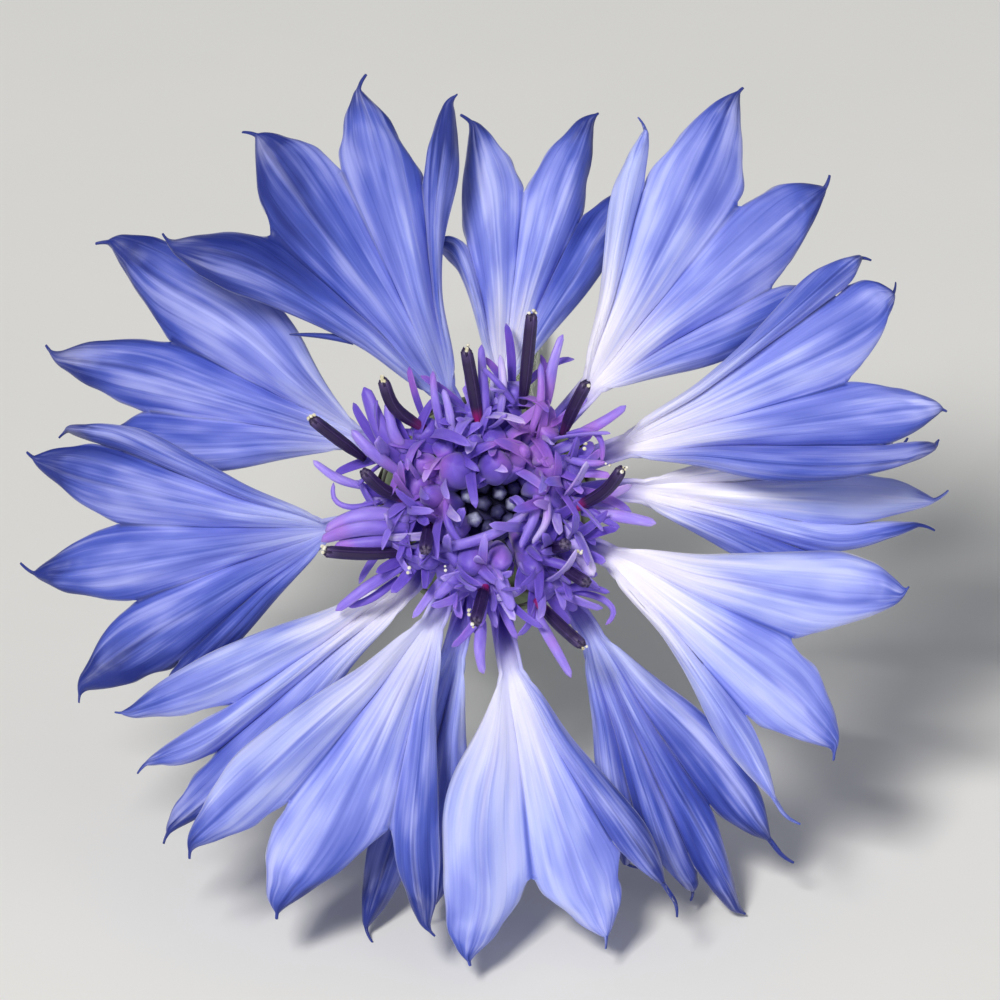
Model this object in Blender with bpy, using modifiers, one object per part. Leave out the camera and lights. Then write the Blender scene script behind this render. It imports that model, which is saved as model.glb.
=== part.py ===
"""A cornflower, picked with a short stem and lying on a surface.

Everything is modelled in the flower's own frame: the head's axis is +Z, the mouth of its involucre
is at z = 0 and the florets open towards +Z. One empty then lays the whole flower down, so that it
rests on the cut end of its stem and on the points of its two lowest ray florets. Bearings are in
degrees round the head, anticlockwise from +X, and reaches and heights are in millimetres.
"""

import math
import random
from collections import namedtuple

import bmesh
import bpy
from mathutils import Matrix, Vector

MM = 0.001

# How the flower lies
LEAN = 61.96  # degrees that the head's axis leans from upright, towards -Y
ROLL = 1.69  # degrees that the flower then rolls about the surface's Y axis

# The involucre, the green cup of bracts under the florets
CUP_PROFILE = ((3.4, 0.0), (4.2, -2.2), (5.0, -5.0), (5.2, -7.8), (4.5, -10.8), (2.9, -12.9), (1.4, -13.6))
CUP_SIDES = 16
BRACT_ROWS = (
    # bracts in the row, height of their foot, length, half width
    (7, -13.3, 4.6, 1.90),
    (8, -11.6, 5.2, 1.95),
    (8, -9.2, 5.4, 1.90),
    (9, -6.7, 5.0, 1.60),
    (9, -4.3, 3.9, 1.30),
)
BRACT_PROUD = 0.5  # how far a bract's tip stands proud of the cup

# The stem
STEM_RADIUS = 1.15
STEM_NECK_RADIUS = 1.35
STEM_LENGTH = 36.0
STEM_SWAY = (1.6, 9.0)  # how far the cut end has bent away from the axis, along X and Y
STEM_POINTS = 14
SEAT_GAP = 0.3  # between the stem and the involucre

# The ray florets: a tube that rises from the involucre's mouth, then a fan of pointed lobes
BLADE_HALF = 0.3  # half the thickness of a blade
FIRST_FOOT = 54.6  # bearing of the first foot; the feet stand evenly round the mouth
FOOT_REACH, FOOT_HEIGHT = 2.85, 0.6
FOOT_RADIUS, THROAT_RADIUS = 0.42, 0.52
LOWEST_THROAT, THROAT_STEP = 2.0, 1.5  # height of the throat in the lowest tier, and what the highest adds
LOWEST_CLIMB, CLIMB_STEP = 8.0, 12.0  # degrees that a blade climbs, likewise
CUPPING = 0.9  # rise of the outer lobes, 10 mm out from the throat
PILLOW = 0.22  # rise of the middle of each lobe
TIP_CURL = 0.7  # most that a point curls up or down
TAIL_SHARE = 0.12  # share of a lobe's free part that is a drawn-out tail
END_WIDTH = 0.07
COLUMNS = 2  # columns of faces in each lobe
TUBE_ROWS, FAN_ROWS, LOBE_ROWS = 3, 4, 4

# throat: bearing and reach from the head's axis. tier: how far forward of the others it opens, 0 to 1.
# clefts and points: bearing and reach from the throat. The first and the last cleft are where the
# outer lobes' margins turn in to their points. bows: degrees that those two margins bow outwards.
RayFloret = namedtuple("RayFloret", "throat tier clefts points bows")
RAY_FLORETS = (
    RayFloret((49, 7.9), 0.55, bows=(0, 6),
              clefts=((85, 9.0), (76, 9.7), (51, 11.3), (28, 9.9), (14, 8.5)),
              points=((78, 13.2), (64, 16.3), (40, 15.5), (23, 11.8))),
    RayFloret((23, 7.5), 1.0, bows=(-3, 6),
              clefts=((44, 11.6), (36, 12.5), (15.5, 11.1), (0, 12.6), (-9, 10.5)),
              points=((39, 15.0), (30, 15.4), (7, 15.7), (0, 15.3))),
    RayFloret((5, 7.7), 0.0, bows=(6, 4),
              clefts=((18, 9.0), (6, 10.0), (-11, 8.8), (-20, 9.0), (-32, 7.5)),
              points=((9, 13.2), (-2, 15.0), (-6, 14.4), (-27, 10.5))),
    RayFloret((-23, 6.7), 1.0, bows=(0, -3),
              clefts=((2, 10.5), (-24, 9.6), (-50, 10.0), (-60, 9.6)),
              points=((-7.6, 14.6), (-40, 14.7), (-56.5, 15.9))),
    RayFloret((-52, 8.5), 0.0, bows=(6, 2),
              clefts=((-38, 9.0), (-55, 9.8), (-66, 11.4), (-77, 9.6), (-88, 8.0)),
              points=((-49, 14.7), (-62, 15.4), (-68, 13.6), (-82, 11.4))),
    RayFloret((-82, 8.3), 1.0, bows=(0, 12),
              clefts=((-48, 9.5), (-59, 9.6), (-84.5, 10.2), (-108, 10.2)),
              points=((-54.5, 14.5), (-70, 14.3), (-99, 14.5))),
    RayFloret((-103, 7.6), 0.0, bows=(4, 4),
              clefts=((-86, 8.8), (-101, 9.6), (-115, 9.4), (-127, 8.5)),
              points=((-95, 12.8), (-108, 14.7), (-121, 13.0))),
    RayFloret((-115, 6.5), 1.0, bows=(0, 2),
              clefts=((-88, 10.0), (-102, 10.2), (-129.5, 11.1), (-147, 11.0)),
              points=((-91, 15.3), (-119, 16.3), (-138, 16.5))),
    RayFloret((-135, 6.0), 0.68, bows=(0, 2),
              clefts=((-124, 9.5), (-139, 12.0), (-146, 9.8), (-163, 8.6)),
              points=((-134.5, 17.0), (-146.5, 15.7), (-156, 15.3))),
    RayFloret((-171, 8.2), 0.36, bows=(2, 0),
              clefts=((-128, 7.6), (-138, 9.4), (-159.5, 9.8), (-182, 10.0), (-202, 10.6), (-210, 9.8)),
              points=((-134.5, 11.1), (-147.5, 14.7), (-171.5, 15.0), (-194, 15.1), (-201.5, 13.9))),
    RayFloret((153, 7.4), 0.0, bows=(4, 12),
              clefts=((192, 8.6), (173, 10.1), (152, 10.1), (130, 11.2)),
              points=((181, 12.4), (165.5, 15.8), (141, 15.9))),
    RayFloret((111, 6.0), 0.8, bows=(-2, -6),
              clefts=((154, 9.6), (138, 11.5), (115, 11.9), (96, 10.1), (86, 10.2)),
              points=((152.5, 15.7), (126, 16.1), (106, 16.0), (89, 14.6))),
    RayFloret((83, 6.5), 0.1, bows=(0, 4),
              clefts=((113, 5.6), (106, 6.6), (84, 9.0), (64, 8.2), (47, 7.4)),
              points=((118, 7.6), (97, 13.0), (71.5, 13.7), (55, 11.4))),
)

# The disc florets: bearing and reach of each anther tube's tip, outer florets first
DISC_FLORETS = (
    (77, 9.6), (98, 7.7), (130, 8.0), (154, 9.6), (165, 6.3), (178, 3.9), (196, 8.3),
    (216, 3.8), (239, 6.2), (264, 5.8), (275, 7.2), (304, 8.3), (322, 6.2), (333, 4.2),
    (357, 6.0), (15, 6.8), (34, 5.4), (51, 7.7), (60, 4.0), (112, 4.1), (145, 4.6),
)
DISC_CORE = ((1.5, 5.1), (2.8, 4.4), (3.1, 3.4), (2.0, 1.9), (2.0, 0.3))  # profile, from its top down
CORE_SIDES = 12
DISC_ROOT_HEIGHT = 1.6
DISC_SWELL = (0.55, 5.1)  # share of its reach, and height, at which a disc floret's limb opens
ANTHER_TIP = (9.4, 0.18)  # height of an anther tube's tip at the axis, and its fall a millimetre out
TUBE_RADII = (0.4, 0.62, 0.55)  # of a disc floret, at its root, its limb and the limb's mouth
LIMB_DEPTH = 0.7
ANTHER_RADII = (0.38, 0.43, 0.3)
DISC_LOBES = 4
DISC_LOBE_RADII = (0.4, 0.36, 0.18)
DISC_LOBE_LENGTH = 2.9
BUD_RINGS = ((1, 0.0, 5.6), (5, 1.2, 5.5))  # buds in the ring, ring's radius, height
BUD_RADII = (0.5, 0.5, 0.22)
BUD_LENGTH, BUD_POINT = 2.5, 0.5

COLOURS = {
    "ray": ((0.30, 0.33, 0.82, 1.0), 0.55),
    "disc": ((0.20, 0.10, 0.48, 1.0), 0.6),
    "bract": ((0.19, 0.26, 0.10, 1.0), 0.7),
    "stem": ((0.30, 0.38, 0.22, 1.0), 0.8),
}


def polar(bearing, reach, height=0.0):
    """The point at a bearing in degrees and a reach and height in millimetres, in millimetres."""
    angle = math.radians(bearing)
    return Vector((reach * math.cos(angle), reach * math.sin(angle), height))


def mix(a, b, share):
    return a + (b - a) * share


def smooth(x):
    x = min(1.0, max(0.0, x))
    return x * x * (3 - 2 * x)


def material(name):
    made = bpy.data.materials.new(name)
    made.use_nodes = True
    shader = made.node_tree.nodes["Principled BSDF"]
    colour, roughness = COLOURS[name]
    shader.inputs["Base Color"].default_value = colour
    shader.inputs["Roughness"].default_value = roughness
    shader.inputs["Metallic"].default_value = 0.0
    return made


def link(obj, collection, finish=None):
    collection.objects.link(obj)
    if finish:
        obj.data.materials.append(finish)
    return obj


# ---------------------------------------------------------------- ray florets


def sheet(name, points, halves, triangles, collection, finish):
    """An open sheet of triangles, in millimetres, made solid by half its thickness at each point."""
    mesh = bpy.data.meshes.new(name)
    mesh.from_pydata([p * MM for p in points], [], triangles)
    blade = link(bpy.data.objects.new(name, mesh), collection, finish)
    thickest = max(halves)
    group = blade.vertex_groups.new(name="thickness")
    for index, half in enumerate(halves):
        group.add([index], half / thickest, "REPLACE")
    solid = blade.modifiers.new("Thickness", "SOLIDIFY")
    solid.thickness = 2 * thickest * MM
    solid.offset = 0.0
    solid.vertex_group = group.name
    solid.use_even_offset = False
    return blade


class Blade:
    """The blade of one ray floret, as a surface that stands over the plane of the head."""

    def __init__(self, index):
        self.made = RAY_FLORETS[index]
        self.throat = polar(*self.made.throat, LOWEST_THROAT + THROAT_STEP * self.made.tier)
        self.climb = math.radians(LOWEST_CLIMB + CLIMB_STEP * self.made.tier)
        first, last = self.made.clefts[0][0], self.made.clefts[-1][0]
        self.middle = (first + last) / 2
        self.spread = abs(first - last) / 2
        self.way = math.copysign(1, last - first)  # which way round the lobes follow each other
        self.lines = COLUMNS * len(self.made.points)
        heading = polar(self.middle, 1)
        self.left = Vector((heading.y, -heading.x, 0)) * self.way
        self.foot, self.knee = self.seat(index, heading)

    def seat(self, index, heading):
        """The foot of the tube, half way from its even place to the throat's bearing, and its knee."""
        even = FIRST_FOOT - index * 360 / len(RAY_FLORETS)
        pulled = even + ((self.made.throat[0] - even + 180) % 360 - 180) / 2
        foot = polar(pulled, FOOT_REACH, FOOT_HEIGHT)
        back = heading * math.cos(self.climb) + Vector((0, 0, math.sin(self.climb)))
        return foot, self.throat - back * (self.throat - foot).length * 0.45

    def point(self, plan, across, along=0.0, curl=0.0):
        """The blade's point over a place in the plane of the head."""
        out = (plan - self.throat).xy
        bearing = math.degrees(math.atan2(out.y, out.x))
        turn = ((bearing - self.middle + 180) % 360 - 180) / self.spread if out.length > 1e-6 else 0
        turn = min(1.4, abs(turn))
        height = self.throat.z + out.length * math.tan(self.climb)
        height += CUPPING * (out.length / 10) ** 1.5 * turn * turn
        height += PILLOW * (1 - across * across) * smooth(out.length / 4)
        return Vector((plan.x, plan.y, height + curl * along * along))

    def tube_row(self, share):
        """A half round across the tube, and how thick it is at each point, which fills it."""
        centre = self.foot * (1 - share) ** 2 + self.knee * 2 * share * (1 - share) + self.throat * share**2
        radius = mix(FOOT_RADIUS, THROAT_RADIUS, share)
        turns = [math.pi * line / self.lines for line in range(self.lines + 1)]
        row = [centre + self.left * math.cos(turn) * radius for turn in turns]
        return row, [radius * max(math.sin(turn), 0.35) for turn in turns]

    def fan_row(self, share):
        """A row right across the fan, which is joined from the throat to the clefts."""
        row = []
        bow = self.way * math.sin(math.pi * share)
        for line in range(self.lines + 1):
            lobe = min(line // COLUMNS, len(self.made.points) - 1)
            step = line / COLUMNS - lobe
            (bearing, reach), (next_bearing, next_reach) = self.made.clefts[lobe : lobe + 2]
            if lobe == 0:
                bearing -= bow * self.made.bows[0]
            if lobe == len(self.made.points) - 1:
                next_bearing += bow * self.made.bows[1]
            far = mix(reach, next_reach, step) * (1 + 0.4 * step * (1 - step)) * share
            plan = self.throat + polar(mix(bearing, next_bearing, step), far)
            mouth = math.cos(math.pi * line / self.lines) * THROAT_RADIUS
            plan += self.left * mouth * (1 - smooth(far / 5))
            row.append(self.point(plan, 2 * step - 1))
        return row

    def lobe_rows(self, lobe, base, curl):
        """The free part of a lobe, from its row between two clefts out to its point."""
        centre = (base[0] + base[-1]) / 2
        tip = self.throat + polar(*self.made.points[lobe])
        rows = []
        for station in range(1, LOBE_ROWS + 1):
            along = 1 - (1 - station / LOBE_ROWS) ** 1.25
            spine = centre + (tip - centre) * along
            places = [spine + (start - centre) * lobe_width(along) for start in base]
            steps = [2 * step / COLUMNS - 1 for step in range(COLUMNS + 1)]
            rows.append([self.point(plan, step, along, curl) for plan, step in zip(places, steps)])
        return rows


def lobe_width(along):
    """Width of a lobe's free part, as a share of its width at the clefts: an arch with a tail."""
    arch = min(1.0, along / (1 - TAIL_SHARE))
    return mix(END_WIDTH, 1.0, 0.92 * (1 - arch * arch) ** 0.9 + 0.08 * (1 - along))


def ray_floret(index, collection, finish):
    """One ray floret: the rows of its tube and fan, then the rows of each lobe."""
    blade = Blade(index)
    draws = random.Random(index)
    points, halves, quads = [], [], []

    def add_row(row, thickness, before=None):
        here = list(range(len(points), len(points) + len(row)))
        points.extend(row)
        halves.extend(thickness)
        if before:
            quads.extend(zip(before, before[1:], here[1:], here))
        return here

    before = None
    for step in range(TUBE_ROWS):
        before = add_row(*blade.tube_row(step / (TUBE_ROWS - 1)), before)
    for step in range(1, FAN_ROWS + 1):
        row = blade.fan_row(step / FAN_ROWS)
        before = add_row(row, [BLADE_HALF] * len(row), before)
    edge = before
    for lobe in range(len(blade.made.points)):
        before = edge[lobe * COLUMNS : (lobe + 1) * COLUMNS + 1]
        base = [points[place] for place in before]
        for row in blade.lobe_rows(lobe, base, draws.uniform(-TIP_CURL, TIP_CURL)):
            before = add_row(row, [BLADE_HALF] * len(row), before)
    triangles = [corner for a, b, c, d in quads for corner in ((a, b, c), (a, c, d))]
    return sheet(f"ray_floret_{index + 1:02d}", points, halves, triangles, collection, finish)


# ---------------------------------------------------------------- rods, joined by Boolean union


def rod(name, path, radii, collection, finish=None, resolution=0):
    """A tapering round rod along a path in millimetres, as a closed mesh."""
    curve = bpy.data.curves.new(name, "CURVE")
    curve.dimensions = "3D"
    curve.bevel_depth = 1.0 * MM
    curve.bevel_resolution = resolution
    curve.use_fill_caps = True
    spline = curve.splines.new("POLY")
    spline.points.add(len(path) - 1)
    for point, place, radius in zip(spline.points, path, radii):
        point.co = (*(place * MM), 1.0)
        point.radius = radius
    drawn = bpy.data.objects.new(name, curve)
    bpy.context.scene.collection.objects.link(drawn)
    graph = bpy.context.evaluated_depsgraph_get()
    mesh = bpy.data.meshes.new_from_object(drawn.evaluated_get(graph))
    bpy.data.objects.remove(drawn)
    weld(mesh)
    return link(bpy.data.objects.new(name, mesh), collection, finish)


def weld(mesh):
    shape = bmesh.new()
    shape.from_mesh(mesh)
    bmesh.ops.remove_doubles(shape, verts=shape.verts, dist=0.001 * MM)
    bmesh.ops.recalc_face_normals(shape, faces=shape.faces)
    shape.to_mesh(mesh)
    shape.free()


def turned(name, profile, sides, collection, finish=None):
    """A solid of revolution about Z. The profile runs down its outer side, from axis to axis."""
    mesh = bpy.data.meshes.new(name)
    closed = [(0.0, profile[0][1]), *profile, (0.0, profile[-1][1])]
    edges = [(i, i + 1) for i in range(len(closed) - 1)]
    mesh.from_pydata([(radius * MM, 0, height * MM) for radius, height in closed], edges, [])
    solid = link(bpy.data.objects.new(name, mesh), collection, finish)
    screw = solid.modifiers.new("Turn", "SCREW")
    screw.steps = screw.render_steps = sides
    screw.use_merge_vertices = True
    screw.merge_threshold = 0.01 * MM
    return solid


def join_all(body, members):
    """Joins to a body all the pieces in a collection, and removes them and the collection."""
    join = body.modifiers.new("Join", "BOOLEAN")
    join.operation = "UNION"
    join.operand_type = "COLLECTION"
    join.collection = members
    graph = bpy.context.evaluated_depsgraph_get()
    mesh = bpy.data.meshes.new_from_object(body.evaluated_get(graph))
    body.modifiers.clear()
    body.data = mesh
    for obj in list(members.objects):
        bpy.data.objects.remove(obj)
    bpy.data.collections.remove(members)
    return body


# ---------------------------------------------------------------- disc florets


def disc_floret(bearing, reach, draws, collection):
    """One disc floret: its tube from the core, its narrow lobes and its anther tube."""
    tip = polar(bearing, reach, ANTHER_TIP[0] - ANTHER_TIP[1] * reach)
    root = polar(bearing, min(1.6, 0.35 * reach), DISC_ROOT_HEIGHT)
    limb = polar(bearing, DISC_SWELL[0] * reach, DISC_SWELL[1])
    axis = (tip - limb).normalized()
    rod("disc_tube", [root, limb, limb + axis * LIMB_DEPTH], TUBE_RADII, collection)
    middle = (limb + tip) / 2 + Vector((0, 0, 0.25))
    rod("anther_tube", [limb, middle, tip], ANTHER_RADII, collection, resolution=1)
    side = axis.cross(Vector((0, 0, 1))).normalized()
    up = side.cross(axis)
    start = draws.uniform(0, 360)
    for lobe in range(DISC_LOBES):
        turn = math.radians(start + 360 * lobe / DISC_LOBES)
        away = side * math.cos(turn) + up * math.sin(turn)
        length = DISC_LOBE_LENGTH * draws.uniform(0.8, 1.15)
        foot = limb + axis * 0.2
        bend = foot + (axis * 0.45 + away * 0.42) * length
        end = bend + (axis * 0.22 + away * 0.42 + Vector((0, 0, 0.15))) * length
        rod("disc_lobe", [foot, bend, end], DISC_LOBE_RADII, collection)


def bud(bearing, reach, height, collection):
    """An unopened disc floret, which stands upright near the middle."""
    top = polar(bearing, reach, height)
    path = [top - Vector((0, 0, BUD_LENGTH)), top - Vector((0, 0, BUD_POINT)), top]
    rod("bud", path, BUD_RADII, collection, resolution=1)


def disc(collection, finish):
    draws = random.Random(7)
    members = bpy.data.collections.new("disc_pieces")
    bpy.context.scene.collection.children.link(members)
    core = turned("disc_florets", DISC_CORE, CORE_SIDES, collection, finish)
    for bearing, reach in DISC_FLORETS:
        disc_floret(bearing, reach, draws, members)
    for count, reach, height in BUD_RINGS:
        for step in range(count):
            bud(360 * step / count, reach, height, members)
    return join_all(core, members)


# ---------------------------------------------------------------- involucre and stem


def cup_radius(height):
    """Radius of the involucre's body at a height."""
    for (r0, z0), (r1, z1) in zip(CUP_PROFILE, CUP_PROFILE[1:]):
        if height >= z1:
            return mix(r0, r1, max(0.0, (z0 - height) / (z0 - z1)))
    return CUP_PROFILE[-1][0]


def bract(bearing, foot, length, half_width, collection):
    """One bract: a pointed scale raised from the cup, which reaches well into it."""
    shape = bmesh.new()
    for along, width, proud in ((0.0, 0.6, 0.05), (0.5, 1.0, 0.4), (1.0, 0.06, BRACT_PROUD)):
        height = foot + length * along
        radius = cup_radius(height)
        for across in (-1, 0, 1):
            turn = math.degrees(across * width * half_width / radius)
            outer = radius + proud - 0.12 * abs(across)
            shape.verts.new(polar(bearing + turn, outer, height) * MM)
            shape.verts.new(polar(bearing + turn, radius / 2, height) * MM)
    hull = bmesh.ops.convex_hull(shape, input=shape.verts)
    bmesh.ops.delete(shape, geom=hull["geom_interior"], context="VERTS")
    mesh = bpy.data.meshes.new("bract")
    shape.to_mesh(mesh)
    shape.free()
    return link(bpy.data.objects.new("bract", mesh), collection)


def involucre(collection, finish):
    draws = random.Random(3)
    members = bpy.data.collections.new("bracts")
    bpy.context.scene.collection.children.link(members)
    cup = turned("involucre", CUP_PROFILE, CUP_SIDES, collection, finish)
    for row, (count, foot, length, half_width) in enumerate(BRACT_ROWS):
        for step in range(count):
            bearing = (step + 0.5 * (row % 2)) * 360 / count + 7 * row + draws.uniform(-3, 3)
            bract(bearing, foot, length * draws.uniform(0.93, 1.05), half_width, members)
    return join_all(cup, members)


def stem(collection, finish):
    """The cut stem, bending gently away from the head's axis."""
    top = CUP_PROFILE[-1][1] - SEAT_GAP
    path, radii = [], []
    for step in range(STEM_POINTS):
        s = step / (STEM_POINTS - 1)
        path.append(Vector((STEM_SWAY[0] * s * s, STEM_SWAY[1] * s * s, top - STEM_LENGTH * s)))
        radii.append(mix(STEM_NECK_RADIUS, STEM_RADIUS, smooth(s * 5)))
    return rod("stem", path, radii, collection, finish, resolution=3)


# ---------------------------------------------------------------- the whole flower


def clear_scene():
    for obj in list(bpy.data.objects):
        bpy.data.objects.remove(obj)


def set_down(parts, root):
    """Lays the flower down and moves it so that its box stands centred on the origin."""
    turn = Matrix.Rotation(math.radians(ROLL), 4, "Y") @ Matrix.Rotation(math.radians(LEAN), 4, "X")
    graph = bpy.context.evaluated_depsgraph_get()
    corners = []
    for part in parts:
        mesh = part.evaluated_get(graph).to_mesh()
        corners += [turn @ v.co for v in mesh.vertices]
        part.evaluated_get(graph).to_mesh_clear()
    low = Vector([min(c[i] for c in corners) for i in range(3)])
    high = Vector([max(c[i] for c in corners) for i in range(3)])
    place = Matrix.Translation((-(low.x + high.x) / 2, -(low.y + high.y) / 2, -low.z))
    root.matrix_world = place @ turn


def main():
    clear_scene()
    flower = bpy.data.collections.new("cornflower")
    bpy.context.scene.collection.children.link(flower)
    finishes = {name: material(name) for name in COLOURS}
    parts = [ray_floret(index, flower, finishes["ray"]) for index in range(len(RAY_FLORETS))]
    parts.append(disc(flower, finishes["disc"]))
    parts.append(involucre(flower, finishes["bract"]))
    parts.append(stem(flower, finishes["stem"]))
    root = bpy.data.objects.new("flower_axis", None)
    bpy.context.scene.collection.objects.link(root)
    bpy.context.view_layer.update()
    set_down(parts, root)
    for part in parts:
        part.parent = root


main()
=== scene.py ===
"""The looks of the cornflower: fine florets, disc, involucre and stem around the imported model.

Shapes are worked out in the flower's own frame, in millimetres: the head's axis is +Z, the mouth of
its involucre is at z = 0 and the florets open towards +Z. LAID puts that frame where the packed
flower lies. Bearings are in degrees round the head, anticlockwise from +X.
"""

import math
import random
from collections import namedtuple

import bmesh
import bpy
import numpy as np
from mathutils import Matrix, Vector, noise


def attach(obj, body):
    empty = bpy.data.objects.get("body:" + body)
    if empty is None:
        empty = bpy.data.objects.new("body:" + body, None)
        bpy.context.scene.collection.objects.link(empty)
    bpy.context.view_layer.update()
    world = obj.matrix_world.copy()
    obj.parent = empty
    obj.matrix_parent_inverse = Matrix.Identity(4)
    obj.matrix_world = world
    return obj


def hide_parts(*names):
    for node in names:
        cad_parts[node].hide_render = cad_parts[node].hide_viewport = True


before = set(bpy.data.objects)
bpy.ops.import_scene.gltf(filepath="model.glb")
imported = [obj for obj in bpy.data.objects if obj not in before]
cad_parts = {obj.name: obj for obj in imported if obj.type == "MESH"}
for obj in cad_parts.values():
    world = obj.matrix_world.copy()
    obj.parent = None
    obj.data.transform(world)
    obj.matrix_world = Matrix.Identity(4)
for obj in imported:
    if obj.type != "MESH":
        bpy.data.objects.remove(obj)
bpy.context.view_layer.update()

MM = 0.001

# ---- the form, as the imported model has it

LEAN, ROLL = 61.96, 1.69  # degrees that the axis leans towards -Y, and that the flower then rolls
HEAD = Vector((0.0526, -14.2755, 16.6969))  # where the involucre's mouth is, in millimetres
TURN = Matrix.Rotation(math.radians(ROLL), 4, "Y") @ Matrix.Rotation(math.radians(LEAN), 4, "X")
LAID = Matrix.Translation(HEAD * MM) @ TURN @ Matrix.Scale(MM, 4)

FIRST_FOOT = 54.6  # bearing of the first foot, before it is pulled towards its throat
FOOT_REACH, FOOT_HEIGHT = 2.85, 0.6
FOOT_RADIUS, THROAT_RADIUS = 0.42, 0.52
LOWEST_THROAT, THROAT_STEP = 2.0, 1.5  # height of the throat in the lowest tier, and what the highest adds
LOWEST_CLIMB, CLIMB_STEP = 8.0, 12.0  # degrees that a blade climbs, likewise
CUPPING = 0.9  # rise of the outer lobes, 10 mm out from the throat
TIP_CURL = 0.7  # most that a point curls up or down

# throat: bearing and reach from the head's axis. tier: how far forward of the others it opens.
# clefts and points: bearing and reach from the throat. bows: how far the outer margins bow out.
RayFloret = namedtuple("RayFloret", "throat tier clefts points bows")
RAY_FLORETS = (
    RayFloret((49, 7.9), 0.55, bows=(0, 6),
              clefts=((85, 9.0), (76, 9.7), (51, 11.3), (28, 9.9), (14, 8.5)),
              points=((78, 13.2), (64, 16.3), (40, 15.5), (23, 11.8))),
    RayFloret((23, 7.5), 1.0, bows=(-3, 6),
              clefts=((44, 11.6), (36, 12.5), (15.5, 11.1), (0, 12.6), (-9, 10.5)),
              points=((39, 15.0), (30, 15.4), (7, 15.7), (0, 15.3))),
    RayFloret((5, 7.7), 0.0, bows=(6, 4),
              clefts=((18, 9.0), (6, 10.0), (-11, 8.8), (-20, 9.0), (-32, 7.5)),
              points=((9, 13.2), (-2, 15.0), (-6, 14.4), (-27, 10.5))),
    RayFloret((-23, 6.7), 1.0, bows=(0, -3),
              clefts=((2, 10.5), (-24, 9.6), (-50, 10.0), (-60, 9.6)),
              points=((-7.6, 14.6), (-40, 14.7), (-56.5, 15.9))),
    RayFloret((-52, 8.5), 0.0, bows=(6, 2),
              clefts=((-38, 9.0), (-55, 9.8), (-66, 11.4), (-77, 9.6), (-88, 8.0)),
              points=((-49, 14.7), (-62, 15.4), (-68, 13.6), (-82, 11.4))),
    RayFloret((-82, 8.3), 1.0, bows=(0, 12),
              clefts=((-48, 9.5), (-59, 9.6), (-84.5, 10.2), (-108, 10.2)),
              points=((-54.5, 14.5), (-70, 14.3), (-99, 14.5))),
    RayFloret((-103, 7.6), 0.0, bows=(4, 4),
              clefts=((-86, 8.8), (-101, 9.6), (-115, 9.4), (-127, 8.5)),
              points=((-95, 12.8), (-108, 14.7), (-121, 13.0))),
    RayFloret((-115, 6.5), 1.0, bows=(0, 2),
              clefts=((-88, 10.0), (-102, 10.2), (-129.5, 11.1), (-147, 11.0)),
              points=((-91, 15.3), (-119, 16.3), (-138, 16.5))),
    RayFloret((-135, 6.0), 0.68, bows=(0, 2),
              clefts=((-124, 9.5), (-139, 12.0), (-146, 9.8), (-163, 8.6)),
              points=((-134.5, 17.0), (-146.5, 15.7), (-156, 15.3))),
    RayFloret((-171, 8.2), 0.36, bows=(2, 0),
              clefts=((-128, 7.6), (-138, 9.4), (-159.5, 9.8), (-182, 10.0), (-202, 10.6), (-210, 9.8)),
              points=((-134.5, 11.1), (-147.5, 14.7), (-171.5, 15.0), (-194, 15.1), (-201.5, 13.9))),
    RayFloret((153, 7.4), 0.0, bows=(4, 12),
              clefts=((192, 8.6), (173, 10.1), (152, 10.1), (130, 11.2)),
              points=((181, 12.4), (165.5, 15.8), (141, 15.9))),
    RayFloret((111, 6.0), 0.8, bows=(-2, -6),
              clefts=((154, 9.6), (138, 11.5), (115, 11.9), (96, 10.1), (86, 10.2)),
              points=((152.5, 15.7), (126, 16.1), (106, 16.0), (89, 14.6))),
    RayFloret((83, 6.5), 0.1, bows=(0, 4),
              clefts=((113, 5.6), (106, 6.6), (84, 9.0), (64, 8.2), (47, 7.4)),
              points=((118, 7.6), (97, 13.0), (71.5, 13.7), (55, 11.4))),
)

# bearing and reach of each anther tube's tip, outer florets first
DISC_FLORETS = (
    (77, 9.6), (98, 7.7), (130, 8.0), (154, 9.6), (165, 6.3), (178, 3.9), (196, 8.3),
    (216, 3.8), (239, 6.2), (264, 5.8), (275, 7.2), (304, 8.3), (322, 6.2), (333, 4.2),
    (357, 6.0), (15, 6.8), (34, 5.4), (51, 7.7), (60, 4.0), (112, 4.1), (145, 4.6),
)
DISC_ROOT = (0.35, 1.6, 1.6)  # share of its reach where a disc floret stands, the most of it, and the height
DISC_SWELL = (0.55, 5.1)  # share of its reach, and height, at which a disc floret's limb opens
ANTHER_TIP = (9.4, 0.18)  # height of an anther tube's tip at the axis, and its fall a millimetre out

# radius and height at the corners of the involucre's body
CUP_PROFILE = ((3.4, 0.0), (4.2, -2.2), (5.0, -5.0), (5.2, -7.8), (4.5, -10.8), (2.9, -12.9), (1.4, -13.6))
BRACT_ROWS = (
    # bracts in the row, height of their foot, length, half width
    (7, -13.3, 4.6, 1.90),
    (8, -11.6, 5.2, 1.95),
    (8, -9.2, 5.4, 1.90),
    (9, -6.7, 5.0, 1.60),
    (9, -4.3, 3.9, 1.30),
)
STEM_TOP, STEM_LENGTH = -13.9, 36.0
STEM_RADIUS, STEM_NECK_RADIUS = 1.15, 1.35
STEM_SWAY = (1.6, 9.0)  # how far the cut end has bent away from the axis, along X and Y

# ---- fine detail

# Seeds of the draws; each blade adds its index to its own
BLADE_DRAWS, DISC_DRAWS, BRACT_DRAWS, FRINGE_DRAWS, WOOL_DRAWS = 100, 21, 3, 5, 11

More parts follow.
